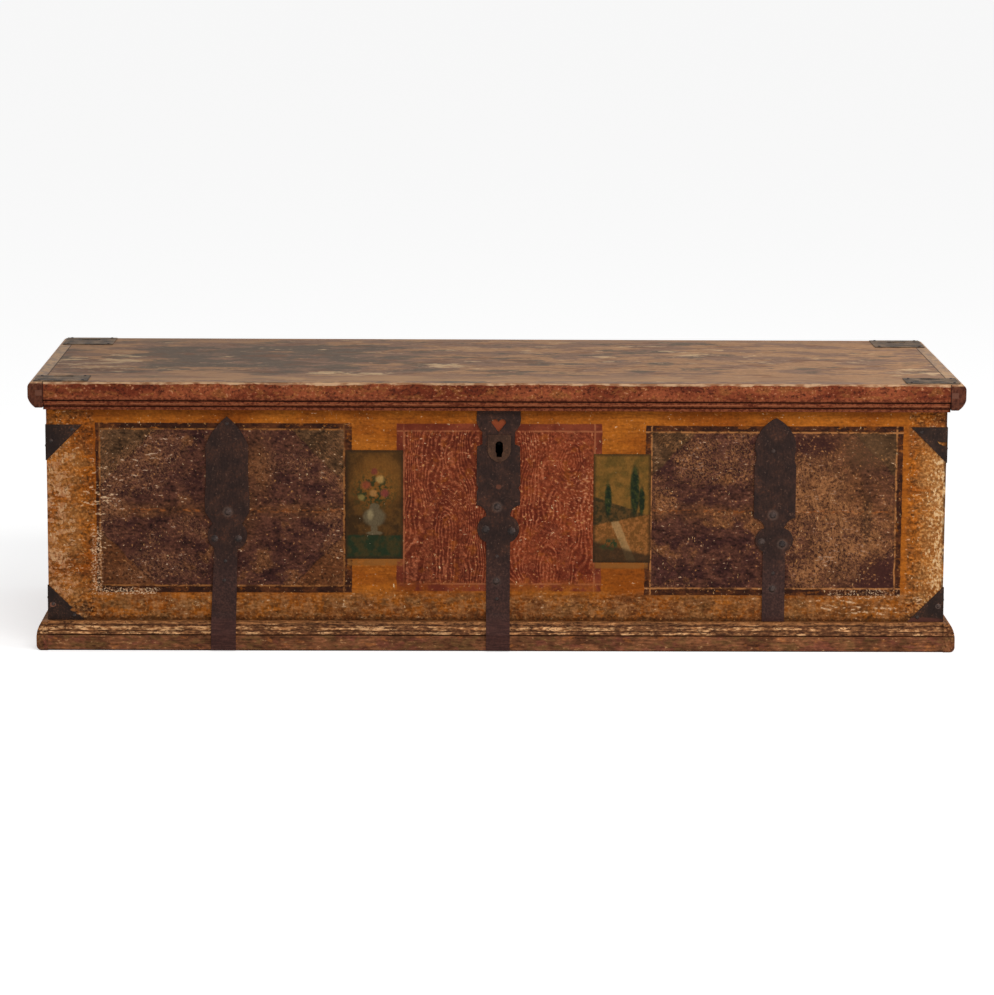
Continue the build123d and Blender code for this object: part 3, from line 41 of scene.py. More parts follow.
class Finish:
    """One finish: its nodes, and short ways to lay one coat over another.

    Lengths are in millimetres, masks and clouds run from 0 to 1, and a typed colour is three values for rgb.
    """

    def __init__(self, name, metallic=0.0, specular=0.06):
        self.material = bpy.data.materials.new(name)
        self.material.use_nodes = True
        self.tree = self.material.node_tree
        self.tree.nodes.clear()
        output = self.add("ShaderNodeOutputMaterial")
        self.shader = self.add("ShaderNodeBsdfPrincipled")
        self.plug(output.inputs[0], self.shader.outputs[0])
        self.shader.inputs["Metallic"].default_value = metallic
        self.shader.inputs["Specular IOR Level"].default_value = specular
        metres = self.add("ShaderNodeTexCoord").outputs["Object"]
        scaled = self.add("ShaderNodeVectorMath", operation="SCALE")
        scaled.inputs["Scale"].default_value = MM
        self.plug(scaled.inputs[0], metres)
        self.place = scaled.outputs[0]
        parts = self.add("ShaderNodeSeparateXYZ")
        self.plug(parts.inputs[0], self.place)
        self.x, self.y, self.z = parts.outputs

    def add(self, kind, **settings):
        node = self.tree.nodes.new(kind)
        for key, value in settings.items():
            setattr(node, key, value)
        return node

    def plug(self, socket, value):
        if isinstance(value, bpy.types.NodeSocket):
            self.tree.links.new(value, socket)
        else:
            socket.default_value = value

    def math(self, operation, a, b=0.0):
        node = self.add("ShaderNodeMath", operation=operation)
        self.plug(node.inputs[0], a)
        self.plug(node.inputs[1], b)
        return node.outputs[0]

    def fold(self, operation, values):
        total = values[0]
        for value in values[1:]:
            total = self.math(operation, total, value)
        return total

    def plus(self, *values):
        return self.fold("ADD", values)

    def times(self, *values):
        return self.fold("MULTIPLY", values)

    def most(self, *values):
        return self.fold("MAXIMUM", values)

    def least(self, *values):
        return self.fold("MINIMUM", values)

    def size(self, value):
        return self.math("ABSOLUTE", value)

    def rest(self, value):
        """What a mask leaves uncovered."""
        return self.math("SUBTRACT", 1.0, value)

    def mask(self, value, off, on):
        """0 where value is at off, 1 where it is at on, and a soft step between."""
        node = self.add("ShaderNodeMapRange", interpolation_type="SMOOTHSTEP")
        self.plug(node.inputs["Value"], value)
        node.inputs["From Min"].default_value = off
        node.inputs["From Max"].default_value = on
        return node.outputs[0]

    def span(self, value, low, high, soft):
        """1 between low and high, fading out over soft on both sides."""
        above, below = self.mask(value, low - soft, low + soft), self.mask(value, high + soft, high - soft)
        return self.times(above, below)

    def near(self, value, level, off, on):
        """1 where value is no further than on from a level, 0 where it is off or more away."""
        return self.mask(self.size(self.plus(value, -level)), off, on)

    def spot(self, x, z, middle_x, middle_z, half_x, half_z, soft=0.35):
        """A soft-edged oval patch."""
        dx = self.math("DIVIDE", self.plus(x, -middle_x), half_x)
        dz = self.math("DIVIDE", self.plus(z, -middle_z), half_z)
        reach = self.math("SQRT", self.plus(self.times(dx, dx), self.times(dz, dz)))
        return self.mask(reach, 1 + soft, 1 - soft)

    def patches(self, x, z, *rows):
        """Soft ovals added up. A row has an oval's middle, half sizes, softness and strength."""
        return self.plus(*[self.times(self.spot(x, z, *row[:-1]), row[-1]) for row in rows])

    def sway(self, cloud, reach):
        """A cloud made to swing about 0."""
        return self.times(self.plus(cloud, -0.5), reach)

    def weigh(self, *pairs):
        """Values added up, each with its own weight."""
        return self.plus(*[self.times(value, weight) for value, weight in pairs])

    def lay(self, under, over, *amounts):
        """Colour over laid on colour under, as thick as the amounts multiplied."""
        node = self.add("ShaderNodeMix", data_type="RGBA")
        self.plug(node.inputs[0], self.times(*amounts))
        for socket, colour in zip(node.inputs[6:8], (under, over)):
            self.plug(socket, rgb(*colour) if isinstance(colour, tuple) else colour)
        return node.outputs[2]

    def shade(self, colour, value):
        """Colour darkened or lightened: a value of 1 leaves it."""
        node = self.add("ShaderNodeVectorMath", operation="SCALE")
        self.plug(node.inputs[0], colour)
        self.plug(node.inputs["Scale"], value)
        return node.outputs[0]

    def mottled(self, colour, strength, *clouds):
        """Colour made lighter and darker by clouds about 0.5, and never quite black."""
        total = self.plus(*clouds, -0.5 * len(clouds))
        return self.shade(colour, self.most(self.plus(1.0, self.times(total, strength)), 0.2))

    def moved(self, stretch, seed, turn=0.0):
        """The place, turned in the front's plane, drawn out where stretch is under 1, shifted by the seed."""
        node = self.add("ShaderNodeMapping", vector_type="TEXTURE")
        self.plug(node.inputs["Vector"], self.place)
        node.inputs["Location"].default_value = tuple(seed * step for step in SEED_STEP)
        node.inputs["Rotation"].default_value = (0.0, turn, 0.0)
        node.inputs["Scale"].default_value = tuple(1 / s for s in stretch)
        return node.outputs[0]

    def noise(self, size, stretch=(1, 1, 1), seed=0, detail=3.0, ragged=0.55, turn=0.0, swirl=0.0):
        """Cloudy value about 0.5."""
        node = self.add("ShaderNodeTexNoise")
        self.plug(node.inputs["Vector"], self.moved(stretch, seed, turn))
        node.inputs["Scale"].default_value = 1 / size
        node.inputs["Detail"].default_value = detail
        node.inputs["Roughness"].default_value = ragged
        node.inputs["Distortion"].default_value = swirl
        return node.outputs["Fac"]

    def grit(self, size, cut, seed, stretch=(1, 1, 1)):
        """Small ragged marks where fine noise passes a cut."""
        return self.mask(self.noise(size, stretch, seed, 2.5, 0.6), cut, cut + 0.045)

    def crazing(self, size, width, stretch=(1, 1, 1), seed=0, turn=0.0):
        """Thin curling lines."""
        fine = self.noise(size, stretch, seed, 1.5, 0.5, turn)
        return self.near(fine, 0.5, width, width * 0.35)

    def box_reach(self, x, z, left, right, low, high):
        """How far outside an upright rectangle: across, upward, and the greater of the two."""
        across = self.plus(self.size(self.plus(x, -(left + right) / 2)), -(right - left) / 2)
        upward = self.plus(self.size(self.plus(z, -(low + high) / 2)), -(high - low) / 2)
        return across, upward, self.most(across, upward)

    def finish(self, colour, roughness, height, depth):
        """Puts the coats on the material. Height is bump from 0 to 1, as deep as depth."""
        self.plug(self.shader.inputs["Base Color"], colour)
        self.plug(self.shader.inputs["Roughness"], roughness)
        bump = self.add("ShaderNodeBump")
        bump.inputs["Distance"].default_value = depth / MM
        self.plug(bump.inputs["Height"], height)
        self.plug(self.shader.inputs["Normal"], bump.outputs[0])
        return self.material


def dress(names, material, edge=0.0):
    """Gives CAD pieces their finish, and rounds their edges by so many millimetres of wear."""
    for name in names:
        piece = nodes[name]
        piece.data.materials.clear()
        piece.data.materials.append(material)
        if edge:
            weld = piece.modifiers.new("weld", "WELD")
            weld.merge_threshold = 0.01 / MM
            wear = piece.modifiers.new("wear", "BEVEL")
            wear.width = edge / MM
            wear.segments = 2
            wear.limit_method = "ANGLE"
            wear.angle_limit = math.radians(40)


def drawn_out(along, share, up=1):
    """The stretch of a cloud that is drawn out along x or along y."""
    return (share, 1, up) if along == "x" else (1, share, up)


def pine(f, light, dark, seed, along="x"):
    """Bare pine with its grain along x or y: its colour, and its height for bump."""
    stretch = drawn_out(along, 0.03)
    broad = f.noise(26, stretch, seed, 2, 0.5, swirl=0.4)
    fine = f.noise(3.2, stretch, seed + 1, 3, 0.65)
    rings = f.math("SINE", f.times(broad, 46.0))
    colour = f.lay(light, dark, f.mask(rings, -0.5, 1.3), 0.8)
    colour = f.shade(colour, f.plus(0.72, f.times(fine, 0.56)))
    return colour, f.weigh((fine, 0.7), (rings, 0.15))


FRONT_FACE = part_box("front_board")[0].y * MM
# Panels and lines are rectangles: left, right, bottom, top
SIDE_PANELS = {"left": (-691, -250, 99, 395.5), "right": (256, 700, 96, 393)}
SIDE_LINES = {"left": (-684, -263.7, 111.2, 384.8), "right": (266.3, 689.5, 108.2, 381.8)}
CENTRE_PANEL = (-173, 181, 102, 395.5)
KEYHOLE = (-10, 17, 330, 368)
GLUE_MARKS = ((-258, -162, 147, 162), (170, 262, 143, 154))  # below the prints
CUT_CORNERS = {"left": 116, "right": 98}  # a corner's two legs together
PANEL_BORDER = 9.5
CENTRE_BORDER = 12.0
LINE = 1.5  # half a line's width
SEAM = 243  # height of the joint that shows through the side panels
LEFT_MARGIN, RIGHT_MARGIN = -694, 710  # where the ground beside the panels begins
LOW_GROUND = 96  # where it begins below them
HEART = (2.5, 398, 22, 16)  # middle and half sizes


def side_panel(f, name, x, z, fine, broad, streaks, upright):
    """One side panel: dark border, thin lines that run on through it, and a field with cut corners."""
    left, right, bottom, top = SIDE_PANELS[name]
    seed = {"left": 20, "right": 40}[name]
    across, upward, outside = f.box_reach(x, z, left, right, bottom, top)
    line_across, line_upward, in_line = f.box_reach(x, z, *SIDE_LINES[name])
    cloud = f.noise(26, (0.8, 1, 1), seed, 3, 0.62)
    blotch = f.noise(48, seed=seed + 1, detail=3, ragged=0.6)

    # Burgundy octagon, rubbed through to warm brown along the seam and beside the band
    octagon = f.lay((55, 30, 26), (86, 51, 38), f.mask(cloud, 0.36, 0.64))
    brown = f.lay((86, 53, 33), (108, 66, 37), f.mask(blotch, 0.40, 0.62))
    seam = f.mask(f.size(f.plus(z, -SEAM, f.sway(broad, 34.0))), 20.0, 4.0)
    if name == "left":
        open_part = f.most(f.spot(x, z, -415, 318, 26, 52, 0.6), f.spot(x, z, -440, 255, 30, 60, 0.6))
    else:
        open_part = f.most(f.spot(x, z, 575, 285, 100, 62, 0.6), f.times(f.mask(x, 500, 560), 0.6))
    rubbed = f.most(f.times(seam, 0.8), f.mask(blotch, 0.56, 0.66), open_part)
    field = f.lay(octagon, brown, rubbed, 0.75)
    # Cut corners, in olive brown, combed on a slant
    cut = f.plus(across, upward, CUT_CORNERS[name], f.sway(broad, 18.0))
    low_tint = {"left": (94, 54, 28), "right": (66, 37, 31)}[name]
    low_corner = f.lay((66, 46, 27), low_tint, f.mask(z, 240, 200))
    spandrel = f.lay(low_corner, (92, 65, 41), f.mask(cloud, 0.42, 0.62), f.mask(z, 150, 260))
    field = f.lay(field, spandrel, f.mask(cut, -2.5, 2.5), 0.85)
    edge_line = f.mask(f.size(cut), 3.0, 0.8)
    field = f.lay(field, (40, 21, 18), edge_line, f.mask(blotch, 0.40, 0.52), 0.6)
    teeth = f.mask(f.math("SINE", f.weigh((cut, 1.15), (broad, 14.0))), 0.0, 0.9)
    combed = f.times(teeth, f.mask(blotch, 0.42, 0.54), f.mask(z, 250, 280), f.mask(cut, -60.0, -10.0))
    field = f.lay(field, (122, 80, 48), combed, 0.45)
    seam_line = f.near(z, SEAM, 5.0, 1.0)
    field = f.lay(field, (130, 70, 26), seam_line, f.mask(streaks, 0.46, 0.62), 0.6)
    field = f.mottled(field, 2.3, fine, streaks)

    # Flaking: how dense it is over the panel
    if name == "left":
        dense = f.patches(
            x, z,
            (-596, 322, 70, 50, 0.6, 0.08),
            (-676, 258, 28, 50, 0.7, 0.12),
            (-578, 140, 66, 30, 0.7, 0.085),
            (-556, 205, 60, 26, 0.7, 0.05),
            (-345, 330, 70, 34, 0.7, 0.06),
            (-275, 220, 22, 60, 0.7, 0.05),
        )
        flake = (140, 94, 64)
    else:
        dense = f.patches(
            x, z,
            (612, 178, 52, 62, 0.5, 0.10),
            (345, 330, 48, 34, 0.6, 0.10),
            (425, 330, 26, 40, 0.6, 0.08),
            (285, 268, 30, 30, 0.8, 0.06),
            (540, 290, 60, 60, 0.6, 0.08),
            (530, 170, 50, 70, 0.6, 0.07),
            (640, 360, 60, 26, 0.6, -0.05),
        )
        flake = (160, 107, 66)
    dense = f.plus(dense, f.sway(blotch, 0.30), -0.02)
    marks = f.mask(f.plus(fine, dense), 0.625, 0.71)
    if name == "right":
        marks = f.most(marks, f.times(f.mask(f.plus(upright, dense), 0.61, 0.67), f.mask(x, 440, 520)))
    worms = f.most(
        f.crazing(6.0, 0.034, (0.7, 1, 1), seed + 2, 0.6),
        f.crazing(5.0, 0.030, (1, 1, 0.7), seed + 3, -0.5),
    )
    worms = f.times(worms, f.mask(dense, -0.02, 0.05))
    field = f.lay(field, (48, 25, 20), f.mask(fine, 0.45, 0.38), f.mask(dense, 0.0, 0.06), 0.6)
    field = f.lay(field, flake, f.most(marks, f.times(worms, 0.75)), f.plus(0.05, f.times(cloud, 1.1)))
    pale = f.mask(f.plus(streaks, f.times(dense, 0.8), f.sway(cloud, 0.25)), 0.70, 0.76)
    field = f.lay(field, (196, 162, 134), pale, {"left": 0.8, "right": 0.3}[name])

    if name == "right":
        smudges = ((640, 232, 9, 42, (44, 30, 20), 0.5), (545, 358, 40, 18, (48, 24, 24), 0.7),
                   (655, 130, 34, 34, (58, 30, 26), 0.75), (640, 350, 44, 30, (88, 62, 40), 0.5))
        for middle_x, middle_z, wide, tall, tint, amount in smudges:
            spot = f.spot(x, z, middle_x, middle_z, wide, tall, 0.5)
            field = f.lay(field, tint, spot, f.mask(fine, 0.66, 0.56), amount)

    # Border, with its paint lost here and there
    border = f.lay((48, 25, 16), (82, 44, 23), f.mask(cloud, 0.42, 0.62))
    border = f.mottled(border, 1.5, fine, streaks)
    panel = f.lay(border, field, f.mask(in_line, 0.7, -0.7))
    line = f.mask(f.least(f.size(line_across), f.size(line_upward)), LINE + 0.5, LINE - 0.5)
    gold = {"left": (150, 96, 50), "right": (168, 110, 62)}[name]
    kept = f.times(f.mask(broad, 0.38, 0.54), f.mask(streaks, 0.34, 0.48))
    panel = f.lay(panel, gold, line, f.plus(0.15, f.times(kept, 0.72)))
    return panel, f.mask(outside, 0.7, -0.7), outside, combed


def centre_panel(f, x, z, fine, broad, streaks):
    """The middle panel: red glaze with combed burrs and swirls inside a thin line."""
    left, right, bottom, top = CENTRE_PANEL
    across, upward, outside = f.box_reach(x, z, left, right, bottom, top)
    cloud = f.noise(34, seed=60, detail=3)
    red = f.lay((96, 36, 20), (124, 54, 28), f.mask(cloud, 0.35, 0.65))
    red = f.lay(red, (84, 36, 22), f.mask(f.x, 40, -60), f.plus(0.42, f.times(f.mask(f.z, 210, 130), 0.3)))
    swirl = f.weigh((x, 0.15), (f.noise(90, (1.0, 1, 0.5), 61, 2.5, 0.5), 19.0))
    burrs = (
        (127, 331, 0.58, 4.6, 42, False),
        (-88, 222, 0.6, 5.0, 38, True),
        (88, 150, 0.5, 5.2, 40, True),
    )
    for burr_x, burr_z, tall, pitch, wide, arched in burrs:
        dx = f.plus(x, -burr_x, f.sway(broad, 12.0))
        dz = f.times(f.plus(z, -burr_z, f.sway(cloud, 20.0)), tall)
        dz = f.most(dz, f.times(dz, -0.12)) if arched else dz
        reach = f.math("SQRT", f.plus(f.times(dx, dx), f.times(dz, dz)))
        near = f.mask(reach, wide, wide * 0.5)
        swirl = f.plus(f.times(swirl, f.rest(near)), f.times(reach, near, 1 / pitch))
    wave = f.math("SINE", f.times(swirl, 2 * math.pi))
    broken = f.mask(f.weigh((fine, 0.5), (broad, 0.5)), 0.42, 0.56)
    lines = f.times(f.mask(wave, -0.05, 0.95), f.plus(0.12, f.times(broken, 0.52)))
    glazed = f.lay(red, (166, 92, 60), lines)
    curls = f.times(f.crazing(6.0, 0.03, (1, 1, 0.42), 64, 0.12), f.mask(cloud, 0.40, 0.60))
    glazed = f.lay(glazed, (158, 84, 52), curls, 0.55)
    darks = f.times(f.mask(wave, 0.0, -0.9), f.rest(broken), 0.4)
    glazed = f.lay(glazed, (70, 24, 13), darks)
    ochre = f.times(f.mask(f.noise(24, seed=63, detail=4, ragged=0.65), 0.53, 0.66), 0.55)
    glazed = f.lay(glazed, (140, 72, 24), ochre)
    glazed = f.mottled(glazed, 1.1, fine, streaks)
    dense = f.patches(
        x, z,
        (150, 270, 30, 48, 0.7, 0.085),
        (62, 352, 40, 30, 0.8, 0.06),
        (70, 240, 40, 60, 0.8, 0.035),
        (-60, 262, 50, 26, 0.8, 0.045),
        (-60, 345, 70, 20, 0.8, 0.04),
    )
    dense = f.plus(dense, f.sway(broad, 0.10))
    flaked = f.mask(f.plus(fine, dense), 0.64, 0.73)
    glazed = f.lay(glazed, (194, 130, 90), flaked, 0.62)
    scratched = f.mask(f.plus(streaks, f.times(dense, 0.6)), 0.715, 0.765)
    glazed = f.lay(glazed, (214, 162, 124), scratched, 0.7)

    within = f.mask(f.plus(outside, CENTRE_BORDER), 0.7, -0.7)
    border = f.mottled(f.lay((100, 42, 26), (124, 58, 36), f.mask(cloud, 0.4, 0.62)), 0.8, fine)
    panel = f.lay(border, glazed, within)
    line_across, line_upward = f.plus(across, CENTRE_BORDER + 0.5), f.plus(upward, CENTRE_BORDER + 1.0)
    line = f.mask(f.least(f.size(line_across), f.size(line_upward)), LINE + 0.5, LINE - 0.5)
    panel = f.lay(panel, (158, 94, 60), line, f.plus(0.12, f.times(f.mask(cloud, 0.40, 0.54), 0.6)))
    # The glaze thins out towards the bottom edge
    faded = f.times(f.mask(f.z, 128, 98), f.mask(broad, 0.40, 0.56), 0.8)
    return panel, f.times(f.mask(outside, 0.7, -0.7), f.rest(faded)), lines


def painted_front():
    f = Finish("painted_front")
    fine = f.noise(3.9, (0.8, 1, 0.9), 5, 2, 0.55, 0.6)
    upright = f.noise(4.2, (1, 1, 0.42), 7, 3, 0.65)
    streaks = f.noise(4.2, (0.42, 1, 1.1), 6, 2, 0.58)
    broad = f.noise(24, seed=8, detail=3, ragged=0.6)
    # Hand-drawn edges waver a little
    waver = f.noise(15, seed=9, detail=1.5)
    x = f.plus(f.x, f.sway(waver, 4.0))
    z = f.plus(f.z, f.sway(broad, 2.5))

    # Ochre ground, brushed on and gone brown and dirty towards the bottom and the ends
    cloud = f.noise(75, (0.5, 1, 1), 10, 3, 0.6)
    brushed = f.noise(5, (0.10, 1, 1), 11, 2.5, 0.6)
    colour = f.lay((138, 70, 16), (168, 95, 27), f.mask(cloud, 0.34, 0.66))
    colour = f.lay(colour, (116, 58, 16), f.mask(brushed, 0.48, 0.7), 0.5)
    beside_left = f.mask(f.x, LEFT_MARGIN + 4, LEFT_MARGIN - 4)
    beside_right = f.mask(f.x, RIGHT_MARGIN - 4, RIGHT_MARGIN + 4)
    margin = f.most(beside_left, beside_right)
    low = f.mask(f.z, LOW_GROUND + 12, LOW_GROUND - 12)
    patchy = f.noise(17, (0.6, 1, 1), 12, 4, 0.7)
    soiled = f.times(f.mask(patchy, 0.42, 0.58), f.plus(0.10, f.times(low, 0.55), f.times(margin, 0.45)))
    colour = f.lay(colour, (92, 57, 34), soiled, 0.9)
    olive = f.mask(f.noise(28, (0.5, 1, 1), 13, 3, 0.65), 0.50, 0.62)
    olive = f.times(olive, f.most(low, f.times(margin, 0.7)))
    colour = f.lay(colour, (122, 80, 42), olive, 0.8)
    drips = f.noise(13, (1, 1, 0.4), 14, 3, 0.6)
    colour = f.lay(colour, (156, 102, 58), f.mask(drips, 0.50, 0.62), low, 0.7)
    colour = f.lay(colour, (100, 66, 36), f.mask(drips, 0.46, 0.36), low, 0.55)
    colour = f.lay(colour, (136, 98, 62), f.mask(streaks, 0.47, 0.60), low, 0.45)
    browned = f.plus(0.08, f.times(f.mask(patchy, 0.52, 0.62), 0.35))
    colour = f.lay(colour, (88, 46, 20), low, f.mask(f.x, -560, -440), browned)
    colour = f.mottled(colour, f.plus(1.0, f.times(low, 0.7), f.times(margin, 1.5)), fine, streaks)

    combed = 0.0
    for name in SIDE_PANELS:
        panel, inside, reach, teeth = side_panel(f, name, x, z, fine, broad, streaks, upright)
        chipped = f.times(f.mask(f.plus(reach, PANEL_BORDER), -1.0, 1.0), f.mask(patchy, 0.56, 0.64))
        colour = f.lay(colour, panel, inside, f.rest(f.times(chipped, 0.55)))
        combed = f.plus(combed, f.times(teeth, inside))
    panel, inside, lines = centre_panel(f, x, z, fine, broad, streaks)
    colour = f.lay(colour, panel, inside)
    # Red that crept under the lock's iron shows in its heart
    colour = f.lay(colour, (134, 64, 38), f.spot(f.x, f.z, *HEART), 0.9)

    # Rubbed and flaked to the wood and to the pale first coat along the ends
    heights = f.times(f.mask(f.z, 372, 330), f.mask(f.z, 76, 104))
    left_end = f.times(f.mask(f.x, -708, -758), heights)
    right_end = f.times(f.mask(f.x, 724, 768), heights)
    wood = f.lay((178, 118, 78), (214, 168, 124), f.mask(upright, 0.42, 0.62))
    wooden = f.mask(f.plus(f.noise(10, (0.55, 1, 1), 70, 4, 0.75), f.times(left_end, 0.09)), 0.59, 0.63)
    colour = f.lay(colour, wood, wooden, f.mask(left_end, 0.0, 0.5), 0.85)
    dirty = f.times(f.mask(f.noise(8, (1, 1, 0.8), 78, 3, 0.7), 0.56, 0.64), f.most(margin, low))
    colour = f.lay(colour, (70, 40, 18), dirty, f.plus(0.35, f.times(margin, 0.4)))
    pale_tan = f.most(f.mask(f.x, 716, 750), f.times(f.mask(f.x, -700, -730), 0.6))
    pale_tan = f.times(pale_tan, f.mask(cloud, 0.36, 0.52), f.mask(f.z, 60, 90), f.mask(f.z, 405, 370))
    sandy = f.lay((150, 96, 48), (192, 134, 76), f.mask(f.plus(fine, f.times(patchy, 0.4)), 0.62, 0.80))
    colour = f.lay(colour, sandy, pale_tan, 0.55)
    edge_chips = f.plus(upright, f.weigh((right_end, 0.185), (margin, 0.02), (left_end, 0.02)))
    edge_chips = f.mask(edge_chips, 0.68, 0.73)
    cream = f.lay((186, 132, 78), (232, 200, 154), f.mask(fine, 0.44, 0.58))
    colour = f.lay(colour, cream, edge_chips, 0.9)
    rub = f.near(f.x, SIDE_LINES["left"][0], 26.0, 4.0)
    rub = f.times(rub, f.mask(f.z, 345, 310), f.mask(f.z, 84, 110))
    corner = f.most(
        f.times(f.span(f.x, -700, -680, 4), f.span(f.z, 98, 215, 14)),
        f.times(f.span(f.z, 94, 108, 3), f.span(f.x, -702, -585, 16)),
        f.times(f.span(f.z, 90, 108, 3), f.span(f.x, 570, 700, 16), 0.7),
    )
    flecks = f.mask(f.plus(f.noise(3.0, (0.8, 1, 1), 71, 3, 0.72), f.times(corner, 0.12)), 0.62, 0.67)
    first_coat = f.lay((170, 120, 84), (222, 186, 148), f.mask(streaks, 0.42, 0.58))
    colour = f.lay(colour, first_coat, flecks, corner, 0.9)
    worn = f.weigh(
        (rub, 0.07),
        (f.spot(f.x, f.z, -684, 262, 34, 24, 0.6), 0.10),
        (f.spot(f.x, f.z, 630, 78, 90, 20, 0.5), 0.09),
        (f.times(f.near(f.x, RIGHT_MARGIN - 3, 16.0, 4.0), heights), 0.025),
        (margin, 0.035),
        (low, 0.01),
    )
    ragged = f.mask(f.plus(streaks, worn, f.sway(broad, 0.14)), 0.705, 0.76)
    colour = f.lay(colour, (214, 174, 134), ragged, 0.8)
    right_side = f.times(f.mask(f.x, 712, 745), f.mask(f.z, 64, 80))
    tan = f.plus(fine, f.weigh((low, 0.04), (margin, 0.04), (right_side, 0.06), (right_end, 0.03)))
    tan = f.mask(tan, 0.67, 0.75)
    colour = f.lay(colour, f.lay((186, 130, 72), (208, 156, 98), right_end), tan, 0.75)

    # Glue of the prints' lost feet, painted shade under the lid and over the plinth, and the keyhole's throat
    # painted black as shade
    glue = f.mask(f.least(*[f.box_reach(x, z, *mark)[2] for mark in GLUE_MARKS]), 2.0, -2.0)
    colour = f.lay(colour, (132, 84, 38), glue, f.mask(patchy, 0.35, 0.5), 0.8)
    edge = f.times(f.mask(f.x, 769, 773), f.mask(broad, 0.40, 0.55))
    colour = f.lay(colour, (66, 40, 22), edge, 0.8)
    # Painted shade: darker just under the lid's moulding and in a ragged band over the plinth
    over_plinth = f.mask(f.plus(z, f.sway(fine, 14.0), f.sway(patchy, 22.0)), 59, 54)
    painted_shade = f.most(f.mask(f.z, 416, 423), f.times(over_plinth, 0.9))
    colour = f.lay(colour, (48, 25, 11), painted_shade, 0.7)
    # Painted shade: the keyhole's throat is made black
    keyhole_shade = f.mask(f.box_reach(f.x, f.z, *KEYHOLE)[2], 0.5, -0.5)
    colour = f.lay(colour, (10, 7, 6), keyhole_shade)

    # Only the outer face is painted, and the keyhole's walls take its painted shade
    painted = f.mask(f.y, FRONT_FACE + 1.2, FRONT_FACE + 0.6)
    inner = pine(f, (176, 134, 92), (146, 104, 66), 77)[0]
    colour = f.lay(inner, colour, f.most(painted, keyhole_shade))
    bare = f.most(edge_chips, ragged, tan)
    rough = f.plus(0.48, f.times(bare, 0.2), f.times(fine, 0.15))
    height = f.weigh((bare, -0.8), (lines, 0.3), (combed, 0.3), (fine, 0.6), (streaks, 0.4))
    return f.finish(colour, rough, height, 0.35)


dress(["front_board"], painted_front())

# ---------------- end boards
# Pine boards dovetailed into the front and back, with the ochre ground carried round
# on the outside only. Inside they are bare.
END_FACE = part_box("end_board_right")[1].x * MM


def painted_ends():
    f = Finish("painted_ends")
    wood, grain = pine(f, (194, 140, 100), (158, 106, 70), 90, "y")
    cloud = f.noise(80, (1, 0.6, 1), 91, 3, 0.6)
    fine = f.noise(3.6, (1, 0.8, 0.9), 92, 2.5, 0.62)
    streaks = f.noise(4.0, (1, 0.42, 1.1), 93, 2.5, 0.62)
    brushed = f.noise(5, (1, 0.10, 1), 94, 2.5, 0.6)
    patchy = f.noise(20, (1, 0.6, 1), 95, 4, 0.68)
    colour = f.lay((126, 68, 24), (150, 88, 34), f.mask(cloud, 0.34, 0.66))
    colour = f.lay(colour, (104, 58, 24), f.mask(brushed, 0.48, 0.7), 0.6)
    colour = f.lay(colour, (84, 54, 28), f.mask(patchy, 0.44, 0.62), 0.6)
    colour = f.lay(colour, (98, 54, 24), f.mask(fine, 0.50, 0.62), 0.4)
    colour = f.lay(colour, (180, 122, 62), f.mask(fine, 0.46, 0.36), 0.25)
    depth = f.plus(f.y, -FRONT_FACE)
    corners = f.most(f.mask(depth, 60, 2), f.mask(depth, 500, 568))
    heights = f.times(f.mask(f.z, 400, 360), f.mask(f.z, 60, 84))
    wooden = f.plus(patchy, f.weigh((corners, 0.14), (f.mask(cloud, 0.45, 0.7), 0.05)))
    wooden = f.mask(wooden, 0.64, 0.68)
    colour = f.lay(colour, wood, wooden, heights, 0.9)
    chips = f.mask(f.plus(streaks, f.times(corners, 0.07)), 0.655, 0.705)
    colour = f.lay(colour, (204, 164, 126), chips, 0.8)
    tan = f.mask(fine, 0.67, 0.72)
    colour = f.lay(colour, (190, 140, 90), tan, 0.7)
    # Painted shade under the lid's mouldings and just above the plinth
    painted_shade = f.most(f.mask(f.z, 408, 440), f.times(f.mask(f.z, 64, 50), 0.8))
    colour = f.lay(colour, (52, 30, 15), painted_shade, 0.65)
    painted = f.mask(f.size(f.x), END_FACE - 1.2, END_FACE - 0.6)
    inner = pine(f, (176, 134, 92), (146, 104, 66), 97, "y")[0]
    colour = f.lay(inner, colour, painted)
    bare = f.most(chips, tan, wooden)
    rough = f.plus(0.5, f.times(bare, 0.2), f.times(fine, 0.15))
    height = f.weigh((bare, -0.8), (grain, 0.25), (brushed, 0.2), (fine, 0.5))
    return f.finish(colour, rough, height, 0.35)


dress(["end_board_left", "end_board_right"], painted_ends())

# ---------------- back and bottom boards
# Unpainted pine, planed by hand and gone brown and grey with age and dust. The back is
# dovetailed like the front, the bottom nailed on from below.


def bare_pine(name, light, dark, seed):
    f = Finish(name)
    wood, grain = pine(f, light, dark, seed)
    grime = f.noise(70, seed=seed + 2, detail=4, ragged=0.65)
    colour = f.lay(wood, (84, 62, 44), f.mask(grime, 0.42, 0.7), 0.6)
    knots = f.add("ShaderNodeTexVoronoi")
    f.plug(knots.inputs["Vector"], f.moved((0.8, 1, 1), seed))
    knots.inputs["Scale"].default_value = 1 / 190
    reach = f.plus(knots.outputs["Distance"], f.sway(f.noise(30, seed=seed + 3), 0.06))
    colour = f.lay(colour, (104, 68, 42), f.mask(reach, 0.14, 0.06), 0.5)
    colour = f.lay(colour, (62, 38, 24), f.mask(reach, 0.075, 0.04), 0.85)
    stains = f.grit(9, 0.66, seed + 4, (0.5, 1, 1))
    colour = f.lay(colour, (58, 44, 34), stains, 0.5)
    sawn = f.noise(2.5, (1, 1, 0.05), seed + 5, 3)
    return f.finish(colour, f.plus(0.68, f.times(grime, 0.2)), f.plus(grain, f.times(sawn, 0.5)), 0.4)


